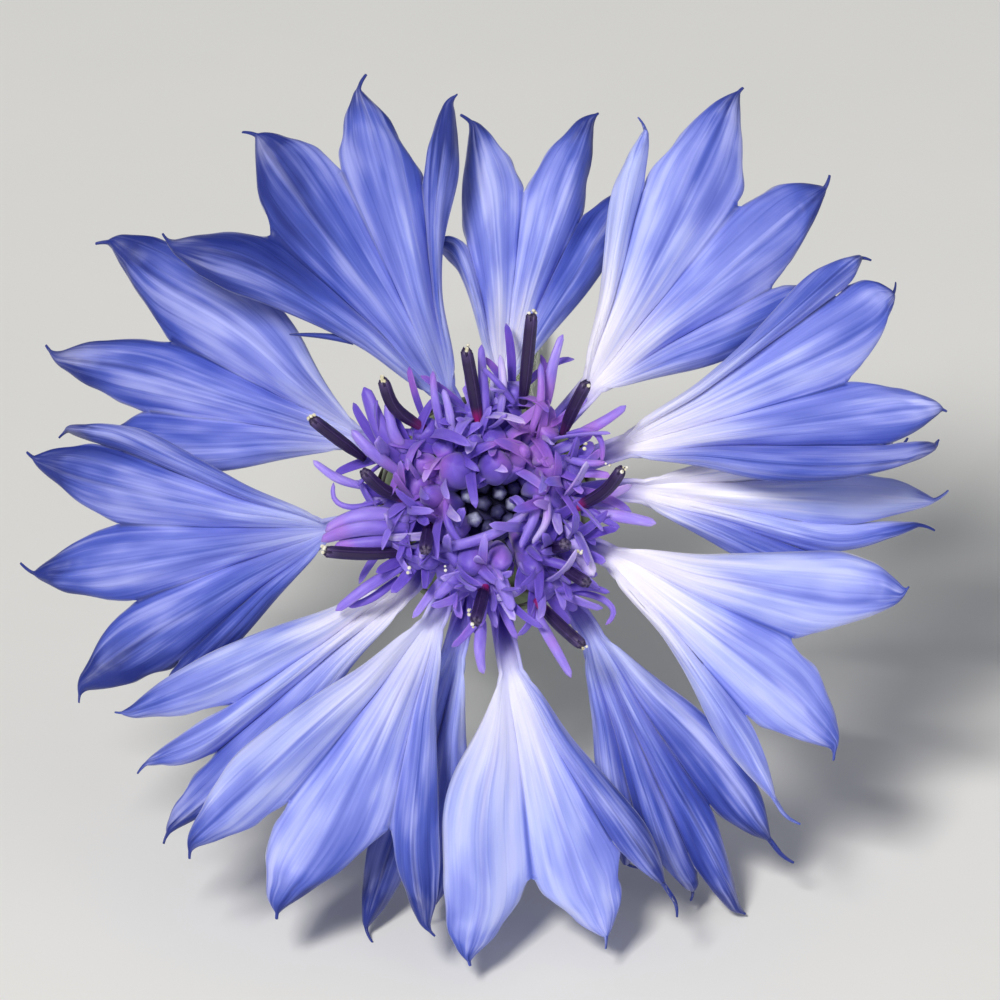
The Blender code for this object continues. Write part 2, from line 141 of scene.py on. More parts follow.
# Ray florets
COLUMNS = 18  # columns of faces in each lobe
TUBE_ROWS, FAN_ROWS, LOBE_ROWS = 16, 34, 36
BLADE_THICK = 0.2
MARGIN_THIN = 0.4  # thickness of a margin, as a share of the blade's
END_WIDTH = 0.02  # width of a lobe's very end, as a share of its width at the clefts
PILLOW = 0.95  # rise of the middle of each lobe
MIDRIB_DEPTH, MIDRIB_WIDTH = 0.08, 0.12
CREASE_DEPTH, CREASE_WIDTH = 0.05, 0.11
CRUMPLE = 0.16  # depth of the uneven folds along each lobe
RUFFLE = 0.16  # unevenness of the margins, as a share of the width
TAILS = (0.02, 0.05, 0.08, 0.12)  # share of a lobe's free part that is a hair-like end, one drawn for each
STRANDS = {(3, 2): 0.3, (4, 0): 0.32, (5, 0): 0.36}  # the same for a few lobes, each by ray floret and lobe
DENTS = 0.13  # depth of the small dents near the points
TIP_HOOK = 0.7  # most that a point bends sideways
FAIRING = 30  # rounds of smoothing where the free lobes leave the fan
FAIRED_ROWS = (16, FAN_ROWS - 4, FAN_ROWS + 5, FAN_ROWS + 18)  # where it starts, is full, fades and ends

# How each ray floret looks, in the order of RAY_FLORETS. pale: its throat's paleness. deeps: how deep
# the blue of each lobe is. Both are partly the floret's own colour and partly painted light and shade:
# paler where a floret lies in a neighbour's shadow, deeper where it faces away from the light.
# bulges: which margin of each lobe bows out more, from 1 for the first margin to -1 for the second.
Look = namedtuple("Look", "pale deeps bulges")
LOOKS = (
    Look(1.0, (-0.4, 0.15, 0.2, 0.5), (0.0, 0.6, 0.7, 0.0)),
    Look(1.0, (0.3, 0.2, 0.1, 0.7), (0.2, 0.7, 0.6, 0.0)),
    Look(1.0, (-0.1, -0.4, 0.0, 0.5), (0.3, 0.0, -0.4, 0.0)),
    Look(1.0, (-0.1, -0.1, -0.15), (0.7, 0.6, 0.2)),
    Look(0.15, (0.5, 0.5, 0.6, 0.7), (0.3, -0.3, 0.2, 0.0)),
    Look(0.7, (0.75, -0.25, -0.1), (0.2, 0.5, -0.5)),
    Look(0.05, (0.4, 0.7, 0.6), (0.0, 0.3, 0.0)),
    Look(0.6, (0.5, 0.0, -0.1), (0.2, -0.4, 0.3)),
    Look(1.0, (0.3, 0.0, -0.1), (0.2, -0.2, -0.4)),
    Look(0.2, (0.9, 0.55, 0.25, 0.55, 0.55), (0.0, 0.3, 0.3, -0.3, -0.3)),
    Look(0.4, (0.4, 0.45, 0.5), (0.2, -0.5, -0.6)),
    Look(0.1, (0.65, 0.7, 0.2, 0.7), (0.3, -0.6, -0.5, 0.0)),
    Look(0.85, (0.5, 0.1, 0.05, 0.65), (0.0, 0.3, 0.2, 0.0)),
)
# A small tooth beside a ray floret's lobes: its floret, the x and y of its foot and its point, half width
TEETH = ((11, (-6.6, 8.1), (-9.7, 8.75), 0.2),)

# Disc florets
# Which of DISC_FLORETS holds up a dark anther tube, the x and y of its foot and of its bend, how
# many grains of pollen cling to its end, and how much its foot is flushed with magenta
ANTHER_TUBES = (
    (0, (1.7, 4.8), (1.95, 7.2), 5, 0.0), (1, (-0.4, 3.7), (-0.75, 5.9), 3, 1.0),
    (2, (-3.0, 3.7), (-4.75, 4.75), 5, 0.3), (3, (-6.1, 2.3), (-7.6, 3.4), 5, 0.0),
    (4, (-3.7, 0.2), (-5.3, 0.75), 0, 0.7), (6, (-4.0, -2.3), (-6.1, -2.45), 5, 0.0),
    (7, (-2.9, -1.0), (-3.0, -1.7), 0, 0.2), (9, (-0.1, -3.8), (-0.35, -4.9), 2, 1.0),
    (11, (2.4, -4.7), (3.4, -5.8), 2, 1.0), (12, (3.4, -2.9), (4.2, -3.4), 0, 0.2),
    (13, (2.6, -2.2), (3.9, -2.0), 0, 0.8), (15, (4.0, -0.3), (5.95, 0.7), 4, 1.0),
    (17, (3.7, 3.5), (4.2, 4.8), 1, 0.1),
)
# Lobes that lie in plain sight: x, y and height along each, then its half width and its paleness,
# which is partly the lobe's own tone and partly a painted highlight where a lobe caught the light
LONG_LOBES = (
    (((2.9, 5.0, 5.6), (3.2, 6.9, 6.4), (3.7, 8.4, 6.2)), 0.27, 0.75),
    (((4.0, 3.3, 5.8), (5.5, 4.0, 6.7), (6.8, 4.9, 6.3)), 0.27, 0.6),
    (((3.9, 3.5, 6.0), (5.2, 3.9, 6.8), (5.8, 3.1, 6.9), (5.6, 2.1, 6.6)), 0.15, 0.4),
    (((3.8, 2.3, 6.0), (4.9, 2.0, 6.7), (5.8, 2.1, 6.6)), 0.18, 0.6),
    (((4.6, -0.3, 5.4), (6.4, -0.5, 6.0), (8.3, -0.9, 5.9)), 0.3, 0.8),
    (((4.5, 0.2, 5.6), (5.4, -0.5, 6.3), (6.5, -1.1, 6.0)), 0.2, 0.2),
    (((2.2, -5.0, 5.4), (3.0, -6.5, 6.1), (4.1, -8.5, 5.6)), 0.26, 0.7),
    (((-0.3, -5.7, 5.3), (-0.4, -7.2, 6.0), (-0.2, -8.3, 5.6)), 0.3, 0.7),
    (((-4.2, -3.0, 5.6), (-6.0, -4.0, 6.3), (-7.5, -5.2, 5.8)), 0.28, 0.5),
    (((-4.4, -3.6, 5.2), (-5.8, -4.7, 5.6), (-6.9, -5.0, 5.2)), 0.2, 0.3),
    (((3.9, -4.2, 5.5), (5.7, -4.5, 6.3), (6.6, -5.3, 6.3), (5.8, -5.9, 6.0)), 0.16, 0.5),
    (((3.4, -4.2, 5.8), (4.9, -3.9, 6.5), (6.0, -4.3, 6.2)), 0.2, 0.3),
    (((-5.3, 0.2, 5.8), (-6.8, -0.3, 6.4), (-7.9, 0.2, 6.3), (-7.6, 1.1, 6.1)), 0.15, 0.5),
    (((-6.2, 0.9, 5.7), (-7.5, 1.3, 6.2), (-8.6, 2.2, 6.0)), 0.22, 0.8),
    (((-4.4, 2.0, 5.6), (-5.4, 3.8, 6.7), (-6.1, 5.8, 6.3)), 0.42, 0.35),
    (((-4.0, 2.6, 5.9), (-4.8, 3.6, 6.6), (-4.9, 5.0, 6.4)), 0.3, 0.6),
    (((-4.4, 1.6, 5.9), (-5.9, 2.7, 6.9), (-6.7, 3.7, 6.5)), 0.3, 0.7),
    (((-0.1, 4.2, 5.9), (-0.2, 6.1, 6.7), (-0.3, 7.9, 6.1)), 0.25, 0.4),
    (((1.3, 5.0, 6.3), (0.5, 6.1, 7.0), (-0.3, 6.8, 6.5)), 0.16, 0.3),
    (((0.6, 4.4, 6.0), (0.8, 6.0, 6.8), (0.6, 7.4, 6.3)), 0.2, 0.9),
    (((2.1, 3.5, 6.1), (2.7, 5.2, 6.9), (2.6, 7.0, 6.5)), 0.2, 0.4),
    (((-2.2, 3.5, 6.0), (-2.6, 5.1, 6.8), (-2.7, 6.6, 6.3)), 0.2, 0.5),
    (((-1.7, 3.4, 6.1), (-1.9, 4.7, 6.8), (-2.2, 5.7, 6.6)), 0.2, 0.8),
    (((-2.6, -2.2, 6.2), (-1.0, -1.95, 7.0), (0.6, -1.4, 6.9), (2.0, -0.4, 6.3)), 0.27, 0.6),
    (((-2.1, 0.3, 6.0), (-2.0, -1.0, 6.7), (-1.2, -2.0, 6.5)), 0.2, 0.2),
    (((2.5, 1.0, 6.0), (2.4, -0.6, 6.8), (1.6, -2.1, 6.6)), 0.25, 0.5),
    (((2.9, 0.5, 6.2), (3.0, -0.9, 7.0), (2.2, -1.9, 6.6)), 0.2, 0.9),
    (((4.0, -0.9, 6.0), (4.7, -2.6, 6.8), (5.2, -3.5, 6.4)), 0.42, 0.95),
    (((2.2, -2.6, 6.2), (3.9, -2.9, 6.9), (5.5, -4.1, 6.5)), 0.25, 0.25),
    (((0.3, -2.8, 6.2), (0.7, -4.0, 6.8), (1.2, -5.2, 6.4)), 0.35, 0.6),
    (((-1.0, -3.0, 6.2), (-1.9, -3.9, 6.8), (-2.6, -4.6, 6.3)), 0.3, 0.45),
    (((-3.9, -0.7, 5.9), (-5.6, -0.3, 6.5), (-7.3, -0.8, 6.3), (-8.0, -1.3, 5.8)), 0.42, 0.7),
    (((-3.9, -1.2, 6.0), (-5.8, -1.1, 6.7), (-7.4, -1.4, 6.3), (-8.2, -1.8, 5.7)), 0.4, 0.5),
    (((-3.9, -1.7, 5.8), (-5.6, -1.9, 6.3), (-7.6, -2.1, 5.8)), 0.36, 0.35),
)
# Rounded limbs: x, y and height of their tops, then half width and length
ROUND_LIMBS = (
    ((-1.75, 1.95, 7.2), 0.9, 3.4), ((0.4, 2.15, 7.2), 0.85, 3.4), ((1.8, 2.8, 7.2), 0.5, 2.9),
    ((2.8, 1.0, 6.8), 0.55, 2.8), ((-3.1, 0.5, 6.7), 0.6, 2.8), ((-0.9, -3.1, 6.8), 0.75, 3.0),
    ((0.7, -3.0, 6.9), 0.6, 2.8), ((2.4, -3.3, 6.7), 0.6, 2.6), ((-3.2, -2.9, 6.6), 0.6, 2.6),
    ((3.3, 1.9, 6.8), 0.55, 2.6), ((-3.4, 2.2, 6.7), 0.6, 2.6), ((-0.7, 3.3, 6.9), 0.5, 2.6),
)
SIDE_LIMB = ((-4.0, -1.1, 5.2), (-6.0, -1.1, 5.7), (-7.5, -1.6, 5.2))  # a limb that lies on its side
LOOSE_POLLEN = (
    (4.85, 2.9, 7.2), (5.95, 2.1, 7.5), (-3.95, -3.2, 7.0), (-2.2, -3.1, 7.0), (-0.8, -5.3, 6.9),
    (4.5, -2.4, 7.3), (4.2, -6.4, 7.2), (-8.2, -2.0, 6.3),
)
INNER_FLORETS = ((8, 2.75, 5.2), (9, 3.6, 5.0))  # florets in the ring, its radius, height of the limbs
# Unopened florets in the hollow: x, y and how pale their tops are
CENTRE_BUDS = (
    (-1.05, 0.5, 0.9), (0.6, 0.65, 0.8), (-0.7, -0.75, 1.0), (1.3, 0.05, 0.7), (-0.2, 0.1, 0.2),
    (0.5, -0.35, 0.1), (-1.5, -0.25, 0.2), (0.0, -1.15, 0.1), (1.1, -0.8, 0.1), (-0.25, 0.95, 0.1),
    (1.35, 0.85, 0.1), (-1.6, -1.1, 0.0), (-1.7, 0.75, 0.1), (1.95, -0.35, 0.1), (2.0, 0.45, 0.0),
)
BUD_TOP, BUD_LENGTH = 4.5, 3.2
# The dark core under the buds fills the hollow between them with painted shade.
CORE_HEIGHTS, CORE_RADII = (0.3, 3.2), (2.2, 1.8)  # of the dark core under the buds, from its foot to its top
HOLLOW_STRETCH = 0.16  # how much longer the hollow is than wide
LOBES = 5
LOBE_TURN = 360 / LOBES  # degrees from one lobe of a floret to the next
LOBE_HALF_WIDTHS, LOBE_THICK = (0.21, 0.3), 0.06
TUBE_RADIUS = 0.28  # of a corolla's tube, at its root
# Corollas of the outer and inner florets: radii of their limbs, length of their lobes, degrees they curl
OUTER_COROLLA = ((0.5, 0.68), 3.0, (0, 70))
INNER_COROLLA = ((0.55, 0.7), 2.2, (-40, 60))
ANTHER_RADIUS = 0.31

# Involucre
CUP_ROUNDING = 24  # rounds of smoothing of the cup's profile
CUP_FOOT = -13.55  # height of its flat foot
BRACT_THICK = 0.16
BRACT_BOW = 0.16  # how far a bract's margins bend down to the cup
FRINGE_PLACES = np.arange(0.42, 0.99, 0.055)  # where its teeth stand along a bract
FRINGE_LENGTHS = (0.36, 0.54)

# Stem
NECK_SINK = -0.015  # how far the neck goes up into the cup, as a share of the stem
NECK_FLARE, FLARE_LENGTH = 0.3, 0.03  # how much the neck widens there, and over what share of the stem
STEM_RIBS, STEM_SIDES = 7, 56
CUT_RINGS = (0.98, 0.95, 0.88, 0.8, 0.7, 0.5, 0.3, 0.1)  # rings of the cut face, as shares of its radius
CUT_DOME = 0.0012  # how far the cut face stands out in its middle, as a share of the stem
WOOL_HAIRS, WOOL_END = 5000, 0.97  # the hairs stop short of the cut end
WOOL_RADII = (0.01, 0.009, 0.008, 0.004)  # of a hair, from its root to its end
WOOL_LENGTHS = (0.5, 1.6)

# Floor, light and camera, in metres and watts
FLOOR_HALF = 4.0
KEY_LIGHT = {"distance": 0.9, "size": 0.2, "power": 6.9, "colour": (1.0, 0.98, 0.95)}
FILL_LIGHT = {"distance": 1.0, "size": 0.6, "power": 1.6, "colour": (0.93, 0.96, 1.0)}
ROOM_COLOUR, ROOM_STRENGTH = (0.93, 0.95, 1.0, 1.0), 0.24
CAMERA_DISTANCE, FRAME_WIDTH = 1.2, 0.0495
CAMERA_AIM = (0.6, 0.25, 0.0)  # in the flower's own frame, in millimetres


def polar(bearing, reach, height=0.0):
    """The point at a bearing in degrees, a reach and a height."""
    angle = math.radians(bearing)
    return Vector((reach * math.cos(angle), reach * math.sin(angle), height))


def mix(a, b, share):
    """A number between two others."""
    return a + (b - a) * share


def smooth(x):
    """0 up to 0, 1 from 1 on, and a smooth rise between them."""
    x = min(1.0, max(0.0, x))
    return x * x * (3 - 2 * x)


def bump_at(x, place, width):
    """1 at a place, and falling smoothly to 0 beyond its width."""
    return math.exp(-(((x - place) / width) ** 2))


def turned(first, second, angle):
    """The direction that lies at an angle from a first towards a second."""
    return first * math.cos(angle) + second * math.sin(angle)


def round_angles(count):
    """Angles spread evenly round a circle."""
    return np.arange(count) * 2 * math.pi / count


def ridged(count, waves, depth):
    """The outline of a section with rounded ridges, as shares of its radius."""
    return 1 + depth * np.cos(waves * round_angles(count))


def placed(name, data):
    """Adds an object to the scene."""
    made = bpy.data.objects.new(name, data)
    bpy.context.scene.collection.objects.link(made)
    return made


# ---- shader maths


class Value:
    """A number or colour that changes over a surface. Operators on it add Math nodes."""

    def __init__(self, finish, socket):
        self.finish, self.socket = finish, socket

    def maths(self, operation, *numbers):
        return self.finish.node("Math", {"operation": operation}, dict(enumerate(numbers)))

    def __add__(self, other):
        return self.maths("ADD", self, other)

    __radd__ = __add__

    def __mul__(self, other):
        return self.maths("MULTIPLY", self, other)

    __rmul__ = __mul__

    def __sub__(self, other):
        return self.maths("SUBTRACT", self, other)

    def __rsub__(self, other):
        return self.maths("SUBTRACT", other, self)

    def __abs__(self):
        return self.maths("ABSOLUTE", self)

    def part(self):
        """What is left of it after the whole number."""
        return self.maths("FRACT", self)

    def eased(self, low, high):
        """0 up to low, 1 from high on, and a smooth rise between them."""
        sockets = {"Value": self, "From Min": low, "From Max": high}
        return self.finish.node("MapRange", {"interpolation_type": "SMOOTHSTEP"}, sockets)


class Finish:
    """One material, built up node by node."""

    def __init__(self, name):
        self.made = bpy.data.materials.new(name)
        self.made.use_nodes = True
        self.tree = self.made.node_tree
        self.shader = self.tree.nodes["Principled BSDF"]

    def node(self, kind, settings=None, sockets=None, output=0):
        """Adds a node of a kind, with its settings and then what goes into its sockets."""
        added = self.tree.nodes.new("ShaderNode" + kind)
        for name, value in (settings or {}).items():
            if name == "stops":
                self.set_stops(added.color_ramp, value)
            else:
                setattr(added, name, value)
        for key, value in (sockets or {}).items():
            self.plug(added.inputs[key], value)
        return Value(self, added.outputs[output])

    def set_stops(self, scale, stops):
        """Gives a colour scale its stops, each a place and a colour."""
        while len(scale.elements) < len(stops):
            scale.elements.new(0.5)
        for element, (place, colour) in zip(scale.elements, stops):
            element.position = place
            element.color = colour

    def plug(self, socket, value):
        """Gives a socket a number, or links what changes over the surface to it."""
        if isinstance(value, Value):
            self.tree.links.new(value.socket, socket)
        else:
            socket.default_value = value

    def trait(self, name):
        """A number that the mesh holds at each point."""
        return self.node("Attribute", {"attribute_name": name}, output="Fac")

    def place(self, *parts):
        """A texture place put together from up to three numbers."""
        return self.node("CombineXYZ", sockets=dict(enumerate(parts)))

    def noise(self, place, scale, detail, roughness=0.5):
        """Cloudy noise at a texture place, mostly between 0.3 and 0.7."""
        sockets = {"Vector": place, "Scale": scale, "Detail": detail, "Roughness": roughness}
        return self.node("TexNoise", sockets=sockets)

    def mottled(self, scale, detail):
        """Noise that runs through the piece itself, with its scale in waves a metre."""
        return self.noise(self.node("TexCoord", output="Object"), scale, detail)

    def blend(self, first, second, share):
        """Two colours mixed by a share."""
        return self.node("Mix", {"data_type": "RGBA"}, {0: share, 6: first, 7: second}, output=2)

    def ramp(self, share, *stops):
        """A colour read from stops of (place, colour)."""
        return self.node("ValToRGB", {"stops": stops}, {0: share})

    def relief(self, height, distance, strength=1.0):
        """Fine relief for the Normal socket, with its distance in metres."""
        sockets = {"Height": height, "Distance": distance, "Strength": strength}
        return self.node("Bump", sockets=sockets)

    def surface(self, **sockets):
        """Sets the shader's own sockets, named with _ for a space."""
        for name, value in sockets.items():
            self.plug(self.shader.inputs[name.replace("_", " ")], value)
        return self.made


def shade(red, green, blue):
    """A display colour of 0 to 255 as the light that it stands for."""
    parts = (red / 255, green / 255, blue / 255)
    return (*(p / 12.92 if p <= 0.04045 else ((p + 0.055) / 1.055) ** 2.4 for p in parts), 1.0)


# ---- finishes


def petal_finish():
    """Cornflower blue: pale at the throat, deepest at the points, with fine vein lines and soft patches,
    painted shade along the creases between lobes, and painted highlights in patches and along the margins.
    """
    f = Finish("cornflower_blue")
    lobe, reach = f.trait("lobe"), f.trait("reach")
    tip, tone, pale, deep = f.trait("tip"), f.trait("tone"), f.trait("pale"), f.trait("deep")
    across = abs(lobe.part() * 2 - 1)
    streaks = f.noise(f.place(lobe * 7, reach * 0.7, tone), 1.6, 4.0, 0.55)
    patches = f.noise(f.place(lobe * 1.7, reach * 1.3, tone), 1.4, 2.0)
    wander = (streaks - 0.5) * 0.22
    side_veins = 1 - abs(((across + wander) * 3).part() * 2 - 1).eased(0.0, 0.22)
    midrib = 1 - (across + wander * 0.4).eased(0.02, 0.12)
    # Darker along the clefts between lobes: partly a vein, partly painted shade in the crease, added to the
    # vein lines.
    cleft_vein_and_shade = (across + wander * 0.15).eased(0.86, 1.0) * f.trait("inner")
    veins_and_crease_shade = (side_veins * 0.07 + midrib * 0.2 + cleft_vein_and_shade * 0.5) * (reach.eased(0.0, 0.35) * 0.7 + 0.3)
    depth = deep * (reach * 0.5 + 0.33) + reach * 0.34 - 0.1
    depth = depth + tip.eased(0.25, 0.95) * (deep * 0.3 + 0.5) + veins_and_crease_shade
    depth = depth + (patches - 0.5) * 1.1 + (streaks - 0.5) * 0.5
    colour = f.ramp(
        depth,
        (0.0, shade(176, 187, 245)),
        (0.3, shade(129, 140, 223)),
        (0.65, shade(74, 91, 186)),
        (1.0, shade(30, 46, 130)),
    )
    # Painted highlights: pale lavender patches and streaks, kept away from the points and faint on the deep
    # lobes.
    painted_sheen = (1 - (patches * 0.9 + streaks * 0.7).eased(0.52, 0.86)) * (1 - tip.eased(0.6, 1.0))
    colour = f.blend(colour, shade(206, 208, 250), painted_sheen * (0.5 - deep * 0.3))
    near = 1 - (reach + (streaks - 0.5) * 0.6 + deep * 0.5).eased(0.1, 0.7)
    colour = f.blend(colour, shade(242, 239, 255), near * pale)
    # A painted highlight along the margins of the free lobes, faint on the deep lobes.
    rim = (across + wander * 0.1).eased(0.9, 1.0) * tip.eased(0.0, 0.1) * (1 - tip.eased(0.6, 1.0))
    colour = f.blend(colour, shade(190, 196, 250), rim * (0.4 - deep * 0.25))
    colour = f.blend(colour, shade(122, 96, 214), 1 - reach.eased(-0.3, 0.08))
    grain = f.noise(f.place(lobe * 26, reach * 26, tone), 1.5, 2.0)
    height = streaks * 0.3 - side_veins * 0.25 - midrib * 0.3 + grain * 0.12
    return f.surface(
        Base_Color=colour,
        Roughness=0.45 + streaks * 0.14,
        Specular_IOR_Level=0.4,
        Sheen_Weight=0.3,
        Sheen_Roughness=0.35,
        Subsurface_Weight=0.2,
        Subsurface_Radius=(0.6, 0.6, 1.0),
        Subsurface_Scale=0.0004,
        Normal=f.relief(height, 0.00005, 0.6),
    )


def disc_finish():
    """The violet of the disc florets, paler along some lobes, partly their own tone and partly painted
    highlight, and flushed with pink in places.
    """
    f = Finish("disc_violet")
    along, tone = f.trait("along"), f.trait("tone")
    mottle = f.mottled(420.0, 3.0)
    streaks = f.noise(f.place(f.trait("round") * 4, along * 1.4, tone * 9), 2.0, 3.0)
    # The paler tones, up to a near white lilac, are partly the lobes' own colour and partly painted
    # highlight.
    depth = tone * 0.75 + along * 0.2 + (streaks - 0.5) * 0.5 + (mottle - 0.5) * 0.35
    colour = f.ramp(
        depth,
        (0.0, shade(88, 60, 176)),
        (0.35, shade(116, 90, 204)),
        (0.7, shade(158, 136, 234)),
        (1.0, shade(218, 206, 252)),
    )
    flush = f.mottled(260.0, 2.0).eased(0.5, 0.7)
    colour = f.blend(colour, shade(186, 112, 206), flush * 0.5)
    return f.surface(
        Base_Color=colour,
        Roughness=0.4 + streaks * 0.2,
        Specular_IOR_Level=0.45,
        Sheen_Weight=0.2,
        Subsurface_Weight=0.4,
        Subsurface_Radius=(0.8, 0.5, 1.0),
        Subsurface_Scale=0.0004,
        Normal=f.relief(streaks, 0.00004, 0.6),
    )


def anther_finish():
    """The dark purple anther tubes, with maroon feet and fine seams."""
    f = Finish("anther_purple")
    along, turn = f.trait("along"), f.trait("round")
    seams = abs((turn * 5).part() * 2 - 1).eased(0.7, 1.0)
    speckle = f.mottled(2500.0, 2.0)
    colour = f.ramp(
        along,
        (0.0, shade(36, 18, 62)),
        (0.86, shade(38, 22, 66)),
        (0.97, shade(64, 48, 96)),
        (1.0, shade(92, 80, 112)),
    )
    colour = f.blend(colour, shade(176, 34, 128), (1 - along.eased(0.12, 0.34)) * f.trait("flush"))
    colour = f.blend(colour, shade(84, 62, 124), seams * 0.35 + speckle.eased(0.6, 0.8) * 0.25)
    return f.surface(
        Base_Color=colour,
        Roughness=0.36 + speckle * 0.2,
        Specular_IOR_Level=0.45,
        Normal=f.relief(speckle - seams, 0.00004, 0.7),
    )


def bud_finish():
    """Unopened florets: dark navy sides that darken further towards their feet with painted shade, and tops
    that may be a pale grey blue.
    """
    f = Finish("bud_navy")
    mottle = f.mottled(1600.0, 3.0)
    # Darker towards the feet: painted shade deep in the hollow.
    colour = f.blend(shade(16, 14, 40), shade(52, 46, 104), f.trait("along").eased(0.3, 0.95))
    top = f.trait("along").eased(0.62, 0.98) * f.trait("tone") * mottle.eased(0.2, 0.6)
    colour = f.blend(colour, shade(214, 218, 242), top)
    return f.surface(Base_Color=colour, Roughness=0.4 + mottle * 0.2, Normal=f.relief(mottle, 0.00005))


def pollen_finish():
    """Cream pollen."""
    f = Finish("pollen")
    grain = f.mottled(4000.0, 2.0)
    colour = f.blend(shade(206, 198, 160), shade(244, 242, 232), grain.eased(0.35, 0.65))
    return f.surface(Base_Color=colour, Roughness=0.8, Normal=f.relief(grain, 0.00003))


def bract_finish():
    """Green bracts with a brown-black fringed margin and fine ribs."""
    f = Finish("bract_green")
    along, across, edge = f.trait("along"), f.trait("round"), f.trait("edge")
    mottle = f.mottled(500.0, 4.0)
    ribs = abs((across * 5).part() * 2 - 1)
    colour = f.ramp(along, (0.0, shade(148, 160, 92)), (0.55, shade(96, 122, 58)), (1.0, shade(70, 84, 44)))
    colour = f.blend(colour, shade(132, 148, 86), ribs.eased(0.3, 0.9) * 0.35)
    colour = f.blend(colour, shade(64, 84, 40), mottle.eased(0.45, 0.7) * 0.4)
    colour = f.blend(colour, shade(40, 26, 22), (edge + (mottle - 0.5) * 0.2).eased(0.62, 0.8))
    return f.surface(
        Base_Color=colour,
        Roughness=0.55 + mottle * 0.2,
        Sheen_Weight=0.2,
        Normal=f.relief(mottle + ribs * 0.6, 0.00008, 0.7),
    )


def fringe_finish():
    """The fringe teeth of the bracts: dark brown at the foot and silvery tan at the end."""
    f = Finish("fringe_brown")
    fade = f.trait("along").eased(0.15, 0.9)
    speckle = f.mottled(2200.0, 2.0)
    colour = f.blend(shade(44, 30, 26), shade(188, 170, 146), fade * (0.5 + speckle * 0.6))
    return f.surface(Base_Color=colour, Roughness=0.6 + speckle * 0.2, Sheen_Weight=0.2)


def stem_finish():
    """Grey-green ribbed stem, pale on the ribs, with a moist cut end: pith, and a ring of dark bundles."""
    f = Finish("stem_green")
    along, ribs, cut = f.trait("along"), f.trait("rib"), f.trait("cut")
    fibres = f.noise(f.place(f.trait("east") * 2.2, f.trait("north") * 2.2, along * 4), 3.0, 4.0)
    mottle = f.mottled(260.0, 4.0)
    colour = f.blend(shade(92, 116, 66), shade(140, 158, 108), ribs.eased(0.2, 0.9) * 0.7)
    colour = f.blend(colour, shade(70, 88, 52), (fibres + mottle * 0.5).eased(0.75, 1.0) * 0.6)
    colour = f.blend(colour, shade(122, 92, 104), (mottle - along * 0.1).eased(0.58, 0.75) * 0.3)
    pith = f.blend(shade(196, 208, 152), shade(222, 228, 188), mottle.eased(0.35, 0.65))
    pith = f.blend(pith, shade(108, 132, 66), f.trait("bundle"))
    colour = f.blend(colour, pith, cut)
    return f.surface(
        Base_Color=colour,
        Roughness=0.6 + fibres * 0.15 - cut * 0.3,
        Sheen_Weight=0.2,
        Normal=f.relief(fibres * (1 - cut) + mottle * 0.4, 0.00012, 0.8),
    )


def wool_finish():
    """The silvery wool of the stem."""
    f = Finish("stem_wool")
    tone = f.trait("tone")
    colour = f.blend(shade(206, 212, 200), shade(240, 242, 236), tone)
    return f.surface(Base_Color=colour, Roughness=0.7, Sheen_Weight=0.3)


def floor_finish():
    """A pale, slightly uneven floor."""
    f = Finish("pale_floor")
    grain = f.mottled(60.0, 4.0)
    colour = f.blend(shade(236, 236, 232), shade(242, 241, 238), grain)
    return f.surface(Base_Color=colour, Roughness=0.7, Normal=f.relief(grain, 0.0002, 0.2))


# ---- meshes


